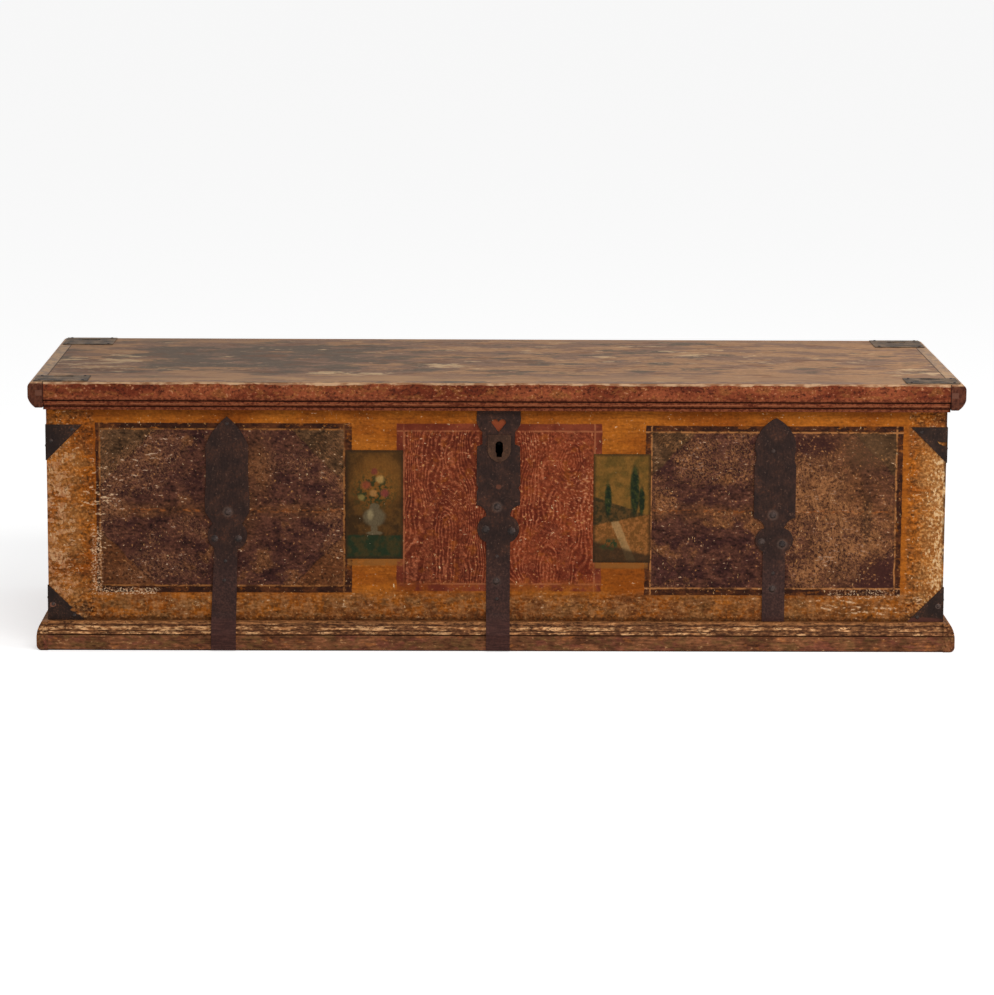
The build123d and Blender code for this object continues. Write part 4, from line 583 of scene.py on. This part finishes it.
dress(["back_board"], bare_pine("back_pine", (158, 114, 78), (122, 82, 54), 110))
bottom_pine = bare_pine("bottom_pine", (164, 124, 84), (130, 94, 62), 120)
dress([name for name in nodes if name.startswith("bottom_board")], bottom_pine)

# ---------------- plinth
# A planed moulding nailed round three sides: a sloping upper member, a groove and a
# round lower member, painted brown and rubbed to the wood along the slope.
PLINTH_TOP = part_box("plinth_front")[1].z * MM
PLINTH_GROOVE = 28


def painted_plinth(name, along):
    f = Finish(name)
    draw = drawn_out(along, 0.45)
    fine = f.noise(4.0, draw, 132, 2, 0.58)
    lines = f.noise(3.2, drawn_out(along, 0.08), 133, 2.5, 0.6)
    cloud = f.noise(26, draw, 131, 3, 0.6)
    patchy = f.noise(12, draw, 134, 4, 0.68)
    # Lower member, brown with olive and reddish tints
    colour = f.lay((92, 55, 35), (132, 83, 53), f.mask(cloud, 0.38, 0.62))
    colour = f.lay(colour, (112, 80, 46), f.mask(patchy, 0.48, 0.62), 0.65)
    colour = f.lay(colour, (158, 96, 50), f.mask(patchy, 0.42, 0.34), 0.6)
    reddish = f.mask(f.noise(20, draw, 135, 3, 0.65), 0.53, 0.64)
    colour = f.lay(colour, (120, 66, 50), reddish, 0.65)
    # Upper member, rubbed to the wood and crazed
    upper = f.mask(f.z, PLINTH_GROOVE, PLINTH_GROOVE + 2)
    wood = f.lay((164, 108, 64), (210, 160, 112), f.mask(f.weigh((patchy, 0.6), (fine, 0.4)), 0.42, 0.58))
    brown = f.lay((98, 60, 37), (140, 94, 58), f.mask(f.weigh((patchy, 0.5), (fine, 0.5)), 0.42, 0.58))
    level = f.plus(f.z, f.sway(cloud, 8.0))
    rows = f.most(f.span(level, 36.5, 42.5, 1.5), f.times(f.span(level, 29.5, 33.5, 1.2), 0.8))
    shown = f.weigh((cloud, 0.5), (patchy, 0.3), (lines, 0.3), (rows, 0.09))
    shown = f.mask(f.plus(shown, f.times(f.mask(f.x, 440, 600), -0.03)), 0.615, 0.655)
    slope = f.lay(brown, wood, shown, 0.85)
    top_tan = f.times(f.mask(f.z, PLINTH_TOP - 5, PLINTH_TOP - 3), f.mask(lines, 0.36, 0.52))
    slope = f.lay(slope, (146, 96, 56), top_tan, 0.75)
    colour = f.lay(colour, slope, upper)
    colour = f.mottled(colour, 1.9, fine, lines)
    crazed = f.crazing(7.0, 0.026, drawn_out(along, 0.4, 1.2), 136)
    colour = f.lay(colour, (56, 30, 18), crazed, upper, f.mask(patchy, 0.40, 0.56), 0.85)
    chips = f.mask(fine, 0.66, 0.74)
    colour = f.lay(colour, (196, 148, 100), chips, 0.6)
    # Broken dark lines along the moulding, painted shade in the groove, and painted shade along the bottom
    # edge where it stands on the floor
    fillet = f.near(level, PLINTH_TOP - 5.5, 1.9, 0.7)
    under = f.near(level, PLINTH_GROOVE + 7.0, 1.5, 0.5)
    shaded_groove = f.near(f.z, PLINTH_GROOVE, 1.8, 0.8)
    broken = f.mask(f.plus(patchy, f.times(lines, 0.5)), 0.62, 0.76)
    dark = f.most(f.times(fillet, broken), f.times(under, broken), f.times(shaded_groove, 0.85), f.mask(f.z, 4, 0))
    colour = f.lay(colour, (50, 26, 15), dark, 0.8)
    rough = f.plus(0.5, f.times(fine, 0.2))
    height = f.weigh((crazed, -0.5), (dark, -0.3), (fine, 0.6), (lines, 0.4))
    return f.finish(colour, rough, height, 0.4)


dress(["plinth_front"], painted_plinth("painted_plinth_front", "x"), 1.0)
dress(["plinth_left", "plinth_right"], painted_plinth("painted_plinth_ends", "y"), 1.0)

# ---------------- iron bands
# Bands cut and forged from sheet and strap, hammered flat and blackened. Old paint
# and a little rust lie in the hammer marks.


def black_iron(name, seed, base, warm, rust, rusty, foot=False, keyhole_shade=False, marks=()):
    """Hammered iron. It may have a creased foot, painted shade behind the keyhole, and marks of its own."""
    f = Finish(name, 0.1, 0.12)
    hammered = f.noise(15, seed=seed, detail=2, ragged=0.4)
    scale = f.noise(3.4, seed=seed + 1, detail=3, ragged=0.62)
    cloud = f.noise(30, seed=seed + 2, detail=3, ragged=0.6)
    drawn = f.noise(3.0, (1, 1, 0.3), seed + 3, 2.5, 0.6)
    colour = f.lay(base, warm, f.mask(cloud, 0.34, 0.72))
    colour = f.mottled(colour, 1.2, scale, drawn)
    spots = f.mask(f.plus(scale, f.times(cloud, 0.5)), 0.84, 0.94)
    colour = f.lay(colour, rust, spots, rusty)
    rubbed = f.mask(f.plus(scale, f.times(hammered, 0.3)), 0.79, 0.88)
    colour = f.lay(colour, (112, 88, 74), rubbed, 0.5)
    for x, z, wide, tall, tint, amount in marks:
        mark = f.spot(f.plus(f.x, f.sway(scale, 6.0)), f.z, x, z, wide, tall, 0.3)
        colour = f.lay(colour, tint, mark, amount)
    if foot:
        strap = f.lay((54, 35, 32), (78, 52, 46), f.mask(scale, 0.40, 0.60))
        colour = f.lay(colour, strap, f.mask(f.z, 190, 110), 0.6)
        # Where the strap is bent over the plinth it is redder, with fine creases across
        low = f.mask(f.z, 62, 46)
        creases = f.noise(2.4, (0.10, 0.10, 1), seed + 4, 2, 0.6)
        foot_colour = f.lay((56, 31, 27), (80, 48, 41), f.mask(creases, 0.40, 0.70))
        colour = f.lay(colour, f.shade(foot_colour, f.plus(0.5, scale)), low, 0.8)
    if keyhole_shade:
        # Painted shade behind the keyhole
        colour = f.lay(colour, (8, 6, 5), f.mask(f.box_reach(f.x, f.z, *KEYHOLE)[2], 4, 0))
    rough = f.plus(0.40, f.times(scale, 0.3), f.times(cloud, 0.12))
    height = f.weigh((hammered, 1.0), (scale, 0.4), (drawn, 0.3))
    return f.finish(colour, rough, height, 0.8)


# The iron is lighter in a ring round some of the nails, and a little brown paint is left under the shield
NAIL_RINGS = ((0.5, 251), (-0.5, 120), (477, 238), (478, 108), (-464, 241), (494, 187))
RING = 8.8
band_marks = [(x, z, RING, RING, (98, 78, 68), 0.55) for x, z in NAIL_RINGS]
band_marks.append((3, 286, 5, 4, (100, 58, 42), 0.8))
band_colours = ((42, 28, 24), (61, 40, 32), (96, 52, 30))
band_iron = black_iron("band_iron", 150, *band_colours, 0.35, foot=True, marks=band_marks)
dress(["band_left", "band_right", "band_centre"], band_iron, 0.5)

# ---------------- keyhole shield
# A small shield of browned sheet iron, pinned over the centre band round the keyhole.
browned_iron = black_iron("browned_iron", 160, (58, 38, 28), (84, 58, 42), (104, 62, 36), 0.5)
dress(["keyhole_shield"], browned_iron, 0.5)

# ---------------- corner plates
# Thin sheet-iron triangles folded round the corners of the box.
# Rust and specks of paint are left where they have torn, and round a lost nail. A nail head's highlight is
# painted on the right plate.
plate_marks = (
    (-768, 77, 5, 4, (150, 98, 76), 0.8),
    # Painted highlight of a nail head on the right plate
    (767, 78, 4, 4, (126, 106, 96), 0.8),
    (740, 53, 34, 5, (92, 52, 42), 0.7),
    (-731, 68, 6, 3, (150, 92, 44), 0.9),
    (-720, 62, 7, 2.5, (160, 100, 50), 0.9),
    (-710, 57, 6, 3, (140, 88, 48), 0.9),
)
plate_colours = ((37, 26, 22), (55, 38, 30), (110, 68, 46))
sheet_iron = black_iron("sheet_iron", 170, *plate_colours, 0.5, marks=plate_marks)
dress([n for n in nodes if n.startswith("corner_plate")], sheet_iron, 0.4)

# ---------------- lid
# Pine boards edged with a moulding on three sides. The top has lost most of its
# paint in patches; the moulding keeps its red-brown coat, worn along its arris.
LID_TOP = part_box("lid_plank_1")[1].z * MM
LID_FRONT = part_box("lid_moulding_front")[0].y * MM
LID_JOINT = 778  # from the middle to where the end mouldings begin
IRON_SLOTS = (728, 766)  # ends of the slots in the lid's irons, from the middle
SLOT_LEVELS = (-245.2, 255.3)
SLOT_HALF = 6


def worn_top_with_painted_light(f, along, seed):
    """The worn paint of the lid's top, with painted light growing towards the right end: its colour and its
    height.
    """
    wide = (0.42, 0.9, 1)
    wood, grain = pine(f, (176, 134, 98), (156, 114, 82), seed, along)
    patches = f.noise(48, wide, seed + 2, 4, 0.62)
    islands = f.noise(40, wide, seed + 3, 4, 0.66)
    worn_zone = f.weigh((f.spot(f.x, f.y, -400, 30, 230, 180, 0.4), 0.12), (f.mask(f.x, 350, -200), 0.03))
    brown = f.mask(f.plus(patches, f.times(worn_zone, 0.6)), 0.47, 0.54)
    colour = f.lay(wood, (134, 104, 86), brown, 0.85)
    slate = f.mask(f.plus(islands, worn_zone), 0.56, 0.64)
    colour = f.lay(colour, (102, 88, 74), slate, 0.85)
    rust = f.mask(f.noise(36, wide, seed + 4, 3, 0.62), 0.57, 0.65)
    colour = f.lay(colour, (124, 84, 60), rust, 0.6)
    bare = f.patches(
        f.x, f.y,
        (-705, -40, 80, 110, 0.6, 0.13),
        (-265, -200, 70, 30, 0.6, 0.16),
        (-80, -90, 60, 36, 0.6, 0.13),
        (330, 60, 120, 90, 0.6, 0.06),
        (730, -150, 60, 60, 0.6, 0.12),
    )
    pale = f.plus(f.noise(30, (0.4, 1, 1), seed + 5, 4, 0.7), bare, f.times(worn_zone, -0.2))
    pale = f.mask(pale, 0.61, 0.67)
    colour = f.lay(colour, (210, 176, 136), pale, 0.8)
    scratched = f.noise(3.4, drawn_out(along, {"x": 0.06, "y": 0.10}[along]), seed + 6, 2.5, 0.6)
    specks = f.noise(5.0, (0.5, 1, 1), seed + 7, 2.5, 0.6)
    colour = f.mottled(colour, 1.0, scratched, specks)
    # Painted light: the top is darker towards the left end and lighter towards the right
    colour = f.shade(colour, f.plus(0.93, f.times(f.x, 0.0002)))
    colour = f.lay(colour, (206, 172, 136), f.mask(specks, 0.67, 0.74), 0.5)
    return colour, f.weigh((grain, 0.5), (scratched, 0.5), (pale, -0.4), (specks, 0.4))


def lid_boards():
    f = Finish("lid_boards")
    colour, height = worn_top_with_painted_light(f, "x", 180)
    broad = f.plus(f.y, f.sway(f.noise(40, (0.3, 1, 1), 195, 3, 0.6), 220.0))
    near_edges = f.most(f.mask(broad, LID_FRONT + 130, LID_FRONT + 80), f.mask(broad, 235, 270))
    colour = f.lay(colour, (164, 126, 96), near_edges, 0.5)
    colour = f.lay(colour, (188, 146, 106), f.mask(broad, LID_FRONT + 60, LID_FRONT + 30), 0.5)
    joints = f.mask(f.size(f.x), LID_JOINT - 3.0, LID_JOINT - 1.0)
    colour = f.lay(colour, (54, 38, 30), joints, 0.8)
    # Painted shade on the wood seen through the slots in the lid's irons
    for level in SLOT_LEVELS:
        reach = f.box_reach(f.size(f.x), f.y, *IRON_SLOTS, level - SLOT_HALF, level + SLOT_HALF)[2]
        colour = f.lay(colour, (26, 19, 15), f.mask(reach, 1, -1))
    under = pine(f, (172, 132, 92), (148, 108, 73), 190)[0]
    on_top = f.mask(f.z, LID_TOP - 1.5, LID_TOP - 0.6)
    return f.finish(f.lay(under, colour, on_top), 0.62, height, 0.4)


def lid_moulding(name, along):
    f = Finish(name)
    top, top_height = worn_top_with_painted_light(f, along, 200)
    draw = drawn_out(along, 0.25)
    cloud = f.noise(40, draw, 210, 3, 0.6)
    fine = f.noise(3.9, drawn_out(along, 0.8), 211, 2, 0.58)
    patchy = f.noise(16, drawn_out(along, 0.5), 212, 4, 0.68)
    coat = f.lay((100, 42, 24), (138, 70, 42), f.mask(cloud, 0.36, 0.62))
    coat = f.lay(coat, (136, 82, 42), f.mask(patchy, 0.50, 0.62), 0.6)
    coat = f.lay(coat, (76, 34, 24), f.mask(patchy, 0.44, 0.34), 0.7)
    coat = f.mottled(coat, 1.7, fine)
    upper = f.mask(f.z, LID_TOP - 30, LID_TOP - 24)
    chips = f.weigh((patchy, 0.3), (f.mask(f.z, LID_TOP - 14, LID_TOP - 3), 0.04))
    chips = f.mask(f.plus(fine, chips), 0.80, 0.89)
    coat = f.lay(coat, (186, 130, 92), chips, 0.8)
    gold = f.mask(f.noise(4.4, (0.9, 1, 0.8), 215, 3, 0.68), 0.60, 0.68)
    coat = f.lay(coat, (182, 118, 62), gold, f.mask(cloud, 0.36, 0.56), 0.6)
    dark = f.mask(f.plus(fine, f.times(patchy, 0.4)), 0.60, 0.54)
    coat = f.lay(coat, (56, 24, 16), dark, 0.6)
    # Dark red-brown with thin light lines below the fascia, and painted shade in the grooves
    below = f.lay((90, 40, 23), (138, 74, 46), f.mask(fine, 0.40, 0.60))
    coat = f.lay(below, coat, upper)
    ridge = f.near(f.z, LID_TOP - 38.5, 1.4, 0.5)
    coat = f.lay(coat, (168, 104, 68), ridge, f.mask(patchy, 0.40, 0.55), 0.75)
    for height, half in ((LID_TOP - 33.0, 2.2), (LID_TOP - 43.6, 1.8)):
        shaded_groove = f.near(f.z, height, half, half * 0.4)
        coat = f.lay(coat, (46, 17, 8), shaded_groove, 0.8)
    edge = f.plus(f.z, f.sway(f.noise(12, draw, 213, 4, 0.7), 12.0))
    wood_edge = f.mask(edge, LID_TOP - 4.6, LID_TOP - 3.2)
    arris = f.lay((150, 104, 72), (204, 164, 126), f.mask(patchy, 0.40, 0.60))
    colour = f.lay(coat, arris, wood_edge, 0.9)
    if along == "y":
        # Open end grain at the front, darker than the coat beside it
        end_grain = f.mask(f.y, LID_FRONT + 3, LID_FRONT + 1)
        end_grain = f.times(end_grain, f.mask(f.z, LID_TOP - 2, LID_TOP - 4))
        rings = f.lay((52, 28, 22), (92, 54, 40), f.mask(f.noise(5, (1, 1, 0.4), 214, 3, 0.65), 0.38, 0.62))
        colour = f.lay(colour, rings, end_grain, 0.85)
        top = f.lay(top, f.lay((152, 130, 112), (196, 158, 120), f.mask(patchy, 0.40, 0.58)), 0.65)
    else:
        # The tongue that shows in the end moulding, and the dark joint beside it
        colour = f.lay(colour, (104, 68, 54), f.mask(f.size(f.x), LID_JOINT - 1, LID_JOINT), 0.9)
        joint = f.span(f.size(f.x), LID_JOINT - 2.0, LID_JOINT + 0.4, 0.6)
        colour = f.lay(colour, (40, 20, 14), joint, 0.85)
    colour = f.lay(colour, top, f.mask(f.z, LID_TOP - 0.9, LID_TOP - 0.3))
    height = f.weigh((fine, 0.5), (chips, -0.5), (top_height, 0.3))
    return f.finish(colour, f.plus(0.42, f.times(chips, 0.2), f.times(fine, 0.2)), height, 0.35)


dress(["lid_plank_1", "lid_plank_2", "lid_plank_3"], lid_boards(), 0.7)
dress(["lid_moulding_front"], lid_moulding("lid_moulding_front_paint", "x"))
dress(["lid_moulding_left", "lid_moulding_right"], lid_moulding("lid_moulding_end_paint", "y"))

# ---------------- irons on the lid
# Slotted plates of sheet iron nailed over the corners of the lid, rubbed brown and
# grey by whatever has stood and slid on it.
lid_sheet = black_iron("lid_sheet_iron", 175, (56, 44, 35), (140, 114, 88), (80, 54, 38), 0.6)
dress([n for n in nodes if n.startswith("lid_iron_") and not n.endswith("nails")], lid_sheet, 0.4)

# ---------------- hinges and lock
# Forged strap hinges, nailed behind the back and under the lid, and the lock on the
# front board's inner face, all left black from the fire.
# The lock's iron takes painted shade behind the keyhole
fittings = black_iron("forged_fittings", 220, (44, 36, 32), (66, 52, 44), (100, 64, 42), 0.3, keyhole_shade=True)
dress([n for n in nodes if n.startswith("hinge_") and not n.endswith("nails")], fittings, 0.4)
dress([n for n in nodes if n.startswith("lock_") and not n.endswith("nails")], fittings, 0.4)

# ---------------- nails
# Hand-forged nails with hammered heads, brighter where they are rubbed. They hold the
# irons and the bottom boards.


def nail_finish():
    f = Finish("nail_iron", 0.3, 0.4)
    scale = f.noise(1.8, seed=230, detail=3, ragged=0.65)
    tint = f.noise(14, seed=231, detail=2)
    colour = f.lay((38, 26, 22), (66, 49, 42), f.mask(tint, 0.38, 0.62))
    colour = f.shade(colour, f.plus(0.4, f.times(scale, 1.2)))
    return f.finish(colour, f.plus(0.24, f.times(scale, 0.3)), scale, 0.35)


dress([n for n in nodes if n.endswith("nails") or n.startswith("band_nails")], nail_finish())

# ---------------- prints
# Two varnished paper prints, pasted on between the panels. The left one has an urn of
# flowers on a ledge, the right one two cypresses over a field with a path.


def print_base(f, name, ground, seed):
    """A varnished ground, and the height and distance inward from the paper's edge."""
    low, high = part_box(name)
    left, right, bottom, top = (v * MM for v in (low.x, high.x, low.z, high.z))
    cloud = f.noise(16, seed=seed, detail=3, ragged=0.6)
    blur = f.noise(7, seed=seed + 1, detail=3, ragged=0.65)
    x = f.plus(f.x, -(left + right) / 2, f.sway(blur, 6.0))
    z = f.plus(f.z, -(bottom + top) / 2, f.sway(cloud, 6.0))
    colour = f.lay(ground[0], ground[1], f.mask(cloud, 0.36, 0.64))
    inset = f.box_reach(f.x, f.z, left, right, bottom, top)[2]
    return x, z, colour, cloud, blur, inset


def print_end(f, colour, blur, inset, seed):
    """Dark worn edge, white specks, cracked varnish."""
    colour = f.lay(colour, (48, 32, 18), f.mask(inset, -7, -1), 0.7)
    colour = f.shade(colour, f.plus(0.55, f.times(f.noise(2.6, (1, 1, 0.7), seed, 2.5, 0.65), 0.9)))
    specks = f.grit(4.2, 0.735, seed + 1)
    colour = f.lay(colour, (214, 198, 164), specks, 0.85)
    return f.finish(colour, f.plus(0.34, f.times(blur, 0.2)), f.plus(blur, f.times(specks, -0.5)), 0.15)


def print_left():
    f = Finish("print_left_paper")
    x, z, colour, cloud, blur, inset = print_base(f, "print_left", ((54, 36, 17), (82, 54, 24)), 240)
    glow = f.spot(x, z, 6, 40, 38, 44, 0.7)
    colour = f.lay(colour, (136, 86, 34), glow, 0.65)
    leaves = f.times(f.spot(x, z, 0, 24, 34, 32, 0.5), f.mask(blur, 0.44, 0.56))
    colour = f.lay(colour, (34, 46, 24), leaves, 0.9)
    blooms = ((-14, 34, 8, 7, (132, 62, 40)), (10, 44, 7, 7, (168, 132, 76)), (18, 20, 7, 6, (120, 52, 48)),
              (-2, 20, 6, 6, (160, 112, 62)), (-22, 12, 6, 5, (128, 108, 58)), (0, 58, 5, 5, (112, 50, 40)))
    for bloom_x, bloom_z, wide, tall, tint in blooms:
        colour = f.lay(colour, tint, f.spot(x, z, bloom_x, bloom_z, wide, tall, 0.45), 0.8)
    for urn_x, urn_z, wide, tall in ((0, -22, 19, 16), (0, -4, 9, 6), (0, -42, 6, 8), (0, -50, 14, 4)):
        colour = f.lay(colour, (92, 78, 56), f.spot(x, z, urn_x, urn_z, wide, tall, 0.2))
    colour = f.lay(colour, (146, 128, 92), f.spot(x, z, -7, -18, 5, 9, 0.6), 0.7)
    ledge = f.mask(z, -52, -56)
    colour = f.lay(colour, f.lay((34, 44, 26), (58, 50, 26), f.mask(cloud, 0.4, 0.6)), ledge)
    return print_end(f, colour, blur, inset, 245)


def print_right():
    f = Finish("print_right_paper")
    x, z, colour, _, blur, inset = print_base(f, "print_right", ((92, 68, 28), (122, 84, 36)), 250)
    hill = f.mask(f.plus(z, f.times(x, 0.35)), 6, 2)
    colour = f.lay(colour, f.lay((52, 42, 22), (82, 58, 30), f.mask(blur, 0.4, 0.6)), hill)
    field = f.mask(f.plus(z, f.times(x, -0.2)), -18, -22)
    colour = f.lay(colour, f.lay((108, 68, 30), (140, 88, 44), f.mask(blur, 0.42, 0.6)), field)
    lane = f.near(f.plus(x, f.times(z, 0.42)), -22.0, 9.0, 6.0)
    colour = f.lay(colour, (156, 122, 78), lane, field, 0.7)
    for tree_x, foot, half, tall in ((22, 6, 8, 44), (-24, -2, 6, 30), (34, -2, 5, 26)):
        crown = f.spot(x, z, tree_x, foot + tall * 0.6, half, tall, 0.25)
        colour = f.lay(colour, f.lay((26, 34, 20), (50, 54, 26), f.mask(blur, 0.42, 0.6)), crown)
    shadow = f.mask(f.plus(z, f.times(x, 0.25)), -66, -74)
    colour = f.lay(colour, (46, 34, 22), shadow, 0.85)
    clump = f.spot(x, z, -20, -62, 20, 10, 0.5)
    colour = f.lay(colour, (44, 52, 28), clump, f.mask(blur, 0.4, 0.55))
    return print_end(f, colour, blur, inset, 255)


dress(["print_left"], print_left())
dress(["print_right"], print_right())

# ---------------- floor, light and camera
# A pale floor under soft even light, seen from the front and a little above.
FLOOR_SIZE = 120
FLOOR_GREY = 0.86
FLOOR_GLOW = 0.52
SKY_LIGHT = 0.60
SENSOR = 36


def ray_strength(tree, ordinary, direct):
    """How strongly a thing shines: direct on rays from the camera, a mirror or glass, else ordinary."""
    path = tree.nodes.new("ShaderNodeLightPath")
    seen = path.outputs["Is Camera Ray"]
    for ray in ("Is Glossy Ray", "Is Transmission Ray"):
        either = tree.nodes.new("ShaderNodeMath")
        either.operation = "MAXIMUM"
        tree.links.new(seen, either.inputs[0])
        tree.links.new(path.outputs[ray], either.inputs[1])
        seen = either.outputs[0]
    strength = tree.nodes.new("ShaderNodeMix")
    tree.links.new(seen, strength.inputs[0])
    strength.inputs[2].default_value = ordinary
    strength.inputs[3].default_value = direct
    return strength.outputs[0]


def pale_floor():
    material = bpy.data.materials.new("pale_floor")
    material.use_nodes = True
    tree = material.node_tree
    tree.nodes.clear()
    paint = tree.nodes.new("ShaderNodeBsdfDiffuse")
    paint.inputs[0].default_value = (FLOOR_GREY, FLOOR_GREY, FLOOR_GREY, 1)
    glow = tree.nodes.new("ShaderNodeEmission")
    tree.links.new(ray_strength(tree, 0.0, FLOOR_GLOW), glow.inputs["Strength"])
    both = tree.nodes.new("ShaderNodeAddShader")
    tree.links.new(paint.outputs[0], both.inputs[0])
    tree.links.new(glow.outputs[0], both.inputs[1])
    output = tree.nodes.new("ShaderNodeOutputMaterial")
    tree.links.new(both.outputs[0], output.inputs[0])
    return material


bpy.ops.mesh.primitive_plane_add(size=FLOOR_SIZE, location=(0, 0, 0))
floor = bpy.context.object
floor.name = "floor"
floor.data.materials.append(pale_floor())

world = bpy.data.worlds.new("studio")
bpy.context.scene.world = world
world.use_nodes = True
sky_tree = world.node_tree
sky_tree.nodes.clear()
sky = sky_tree.nodes.new("ShaderNodeBackground")
sky_tree.links.new(ray_strength(sky_tree, SKY_LIGHT, 1.0), sky.inputs["Strength"])
sky_output = sky_tree.nodes.new("ShaderNodeOutputWorld")
sky_tree.links.new(sky.outputs[0], sky_output.inputs[0])


def softbox(name, place, aim, width, height, power):
    """A rectangular lamp at a place, turned to its aim."""
    lamp = bpy.data.lights.new(name, "AREA")
    lamp.shape = "RECTANGLE"
    lamp.size = width
    lamp.size_y = height
    lamp.energy = power
    holder = bpy.data.objects.new(name, lamp)
    bpy.context.scene.collection.objects.link(holder)
    holder.location = place
    holder.rotation_euler = (Vector(aim) - Vector(place)).to_track_quat("-Z", "Y").to_euler()


softbox("high_front_light", (0.9, -3.4, 3.2), (0, 0, 0.25), 2.4, 1.4, 62)
softbox("right_light", (3.0, -2.0, 2.0), (0, 0, 0.3), 1.2, 1.2, 40)

# The camera's place, its turn and its lens
CAMERA_SPOT = (-0.0837, -6.65093, 1.34294)
YAW, PITCH, ROLL = 0.01315, 0.16723, 0.00521
LENS = 135.672193
ahead = Vector((math.sin(YAW) * math.cos(PITCH), math.cos(YAW) * math.cos(PITCH), -math.sin(PITCH)))
right = Vector((math.cos(YAW), -math.sin(YAW), 0))
up = right.cross(ahead)
right, up = right * math.cos(ROLL) + up * math.sin(ROLL), up * math.cos(ROLL) - right * math.sin(ROLL)
turn = Matrix((right, up, -ahead)).transposed().to_4x4()
camera = bpy.data.objects.new("camera", bpy.data.cameras.new("camera"))
bpy.context.scene.collection.objects.link(camera)
camera.matrix_world = Matrix.Translation(CAMERA_SPOT) @ turn
camera.data.sensor_fit = "HORIZONTAL"
camera.data.sensor_width = SENSOR
camera.data.lens = LENS
camera.data.clip_end = 200
bpy.context.scene.camera = camera
bpy.context.scene.view_settings.view_transform = "Standard"
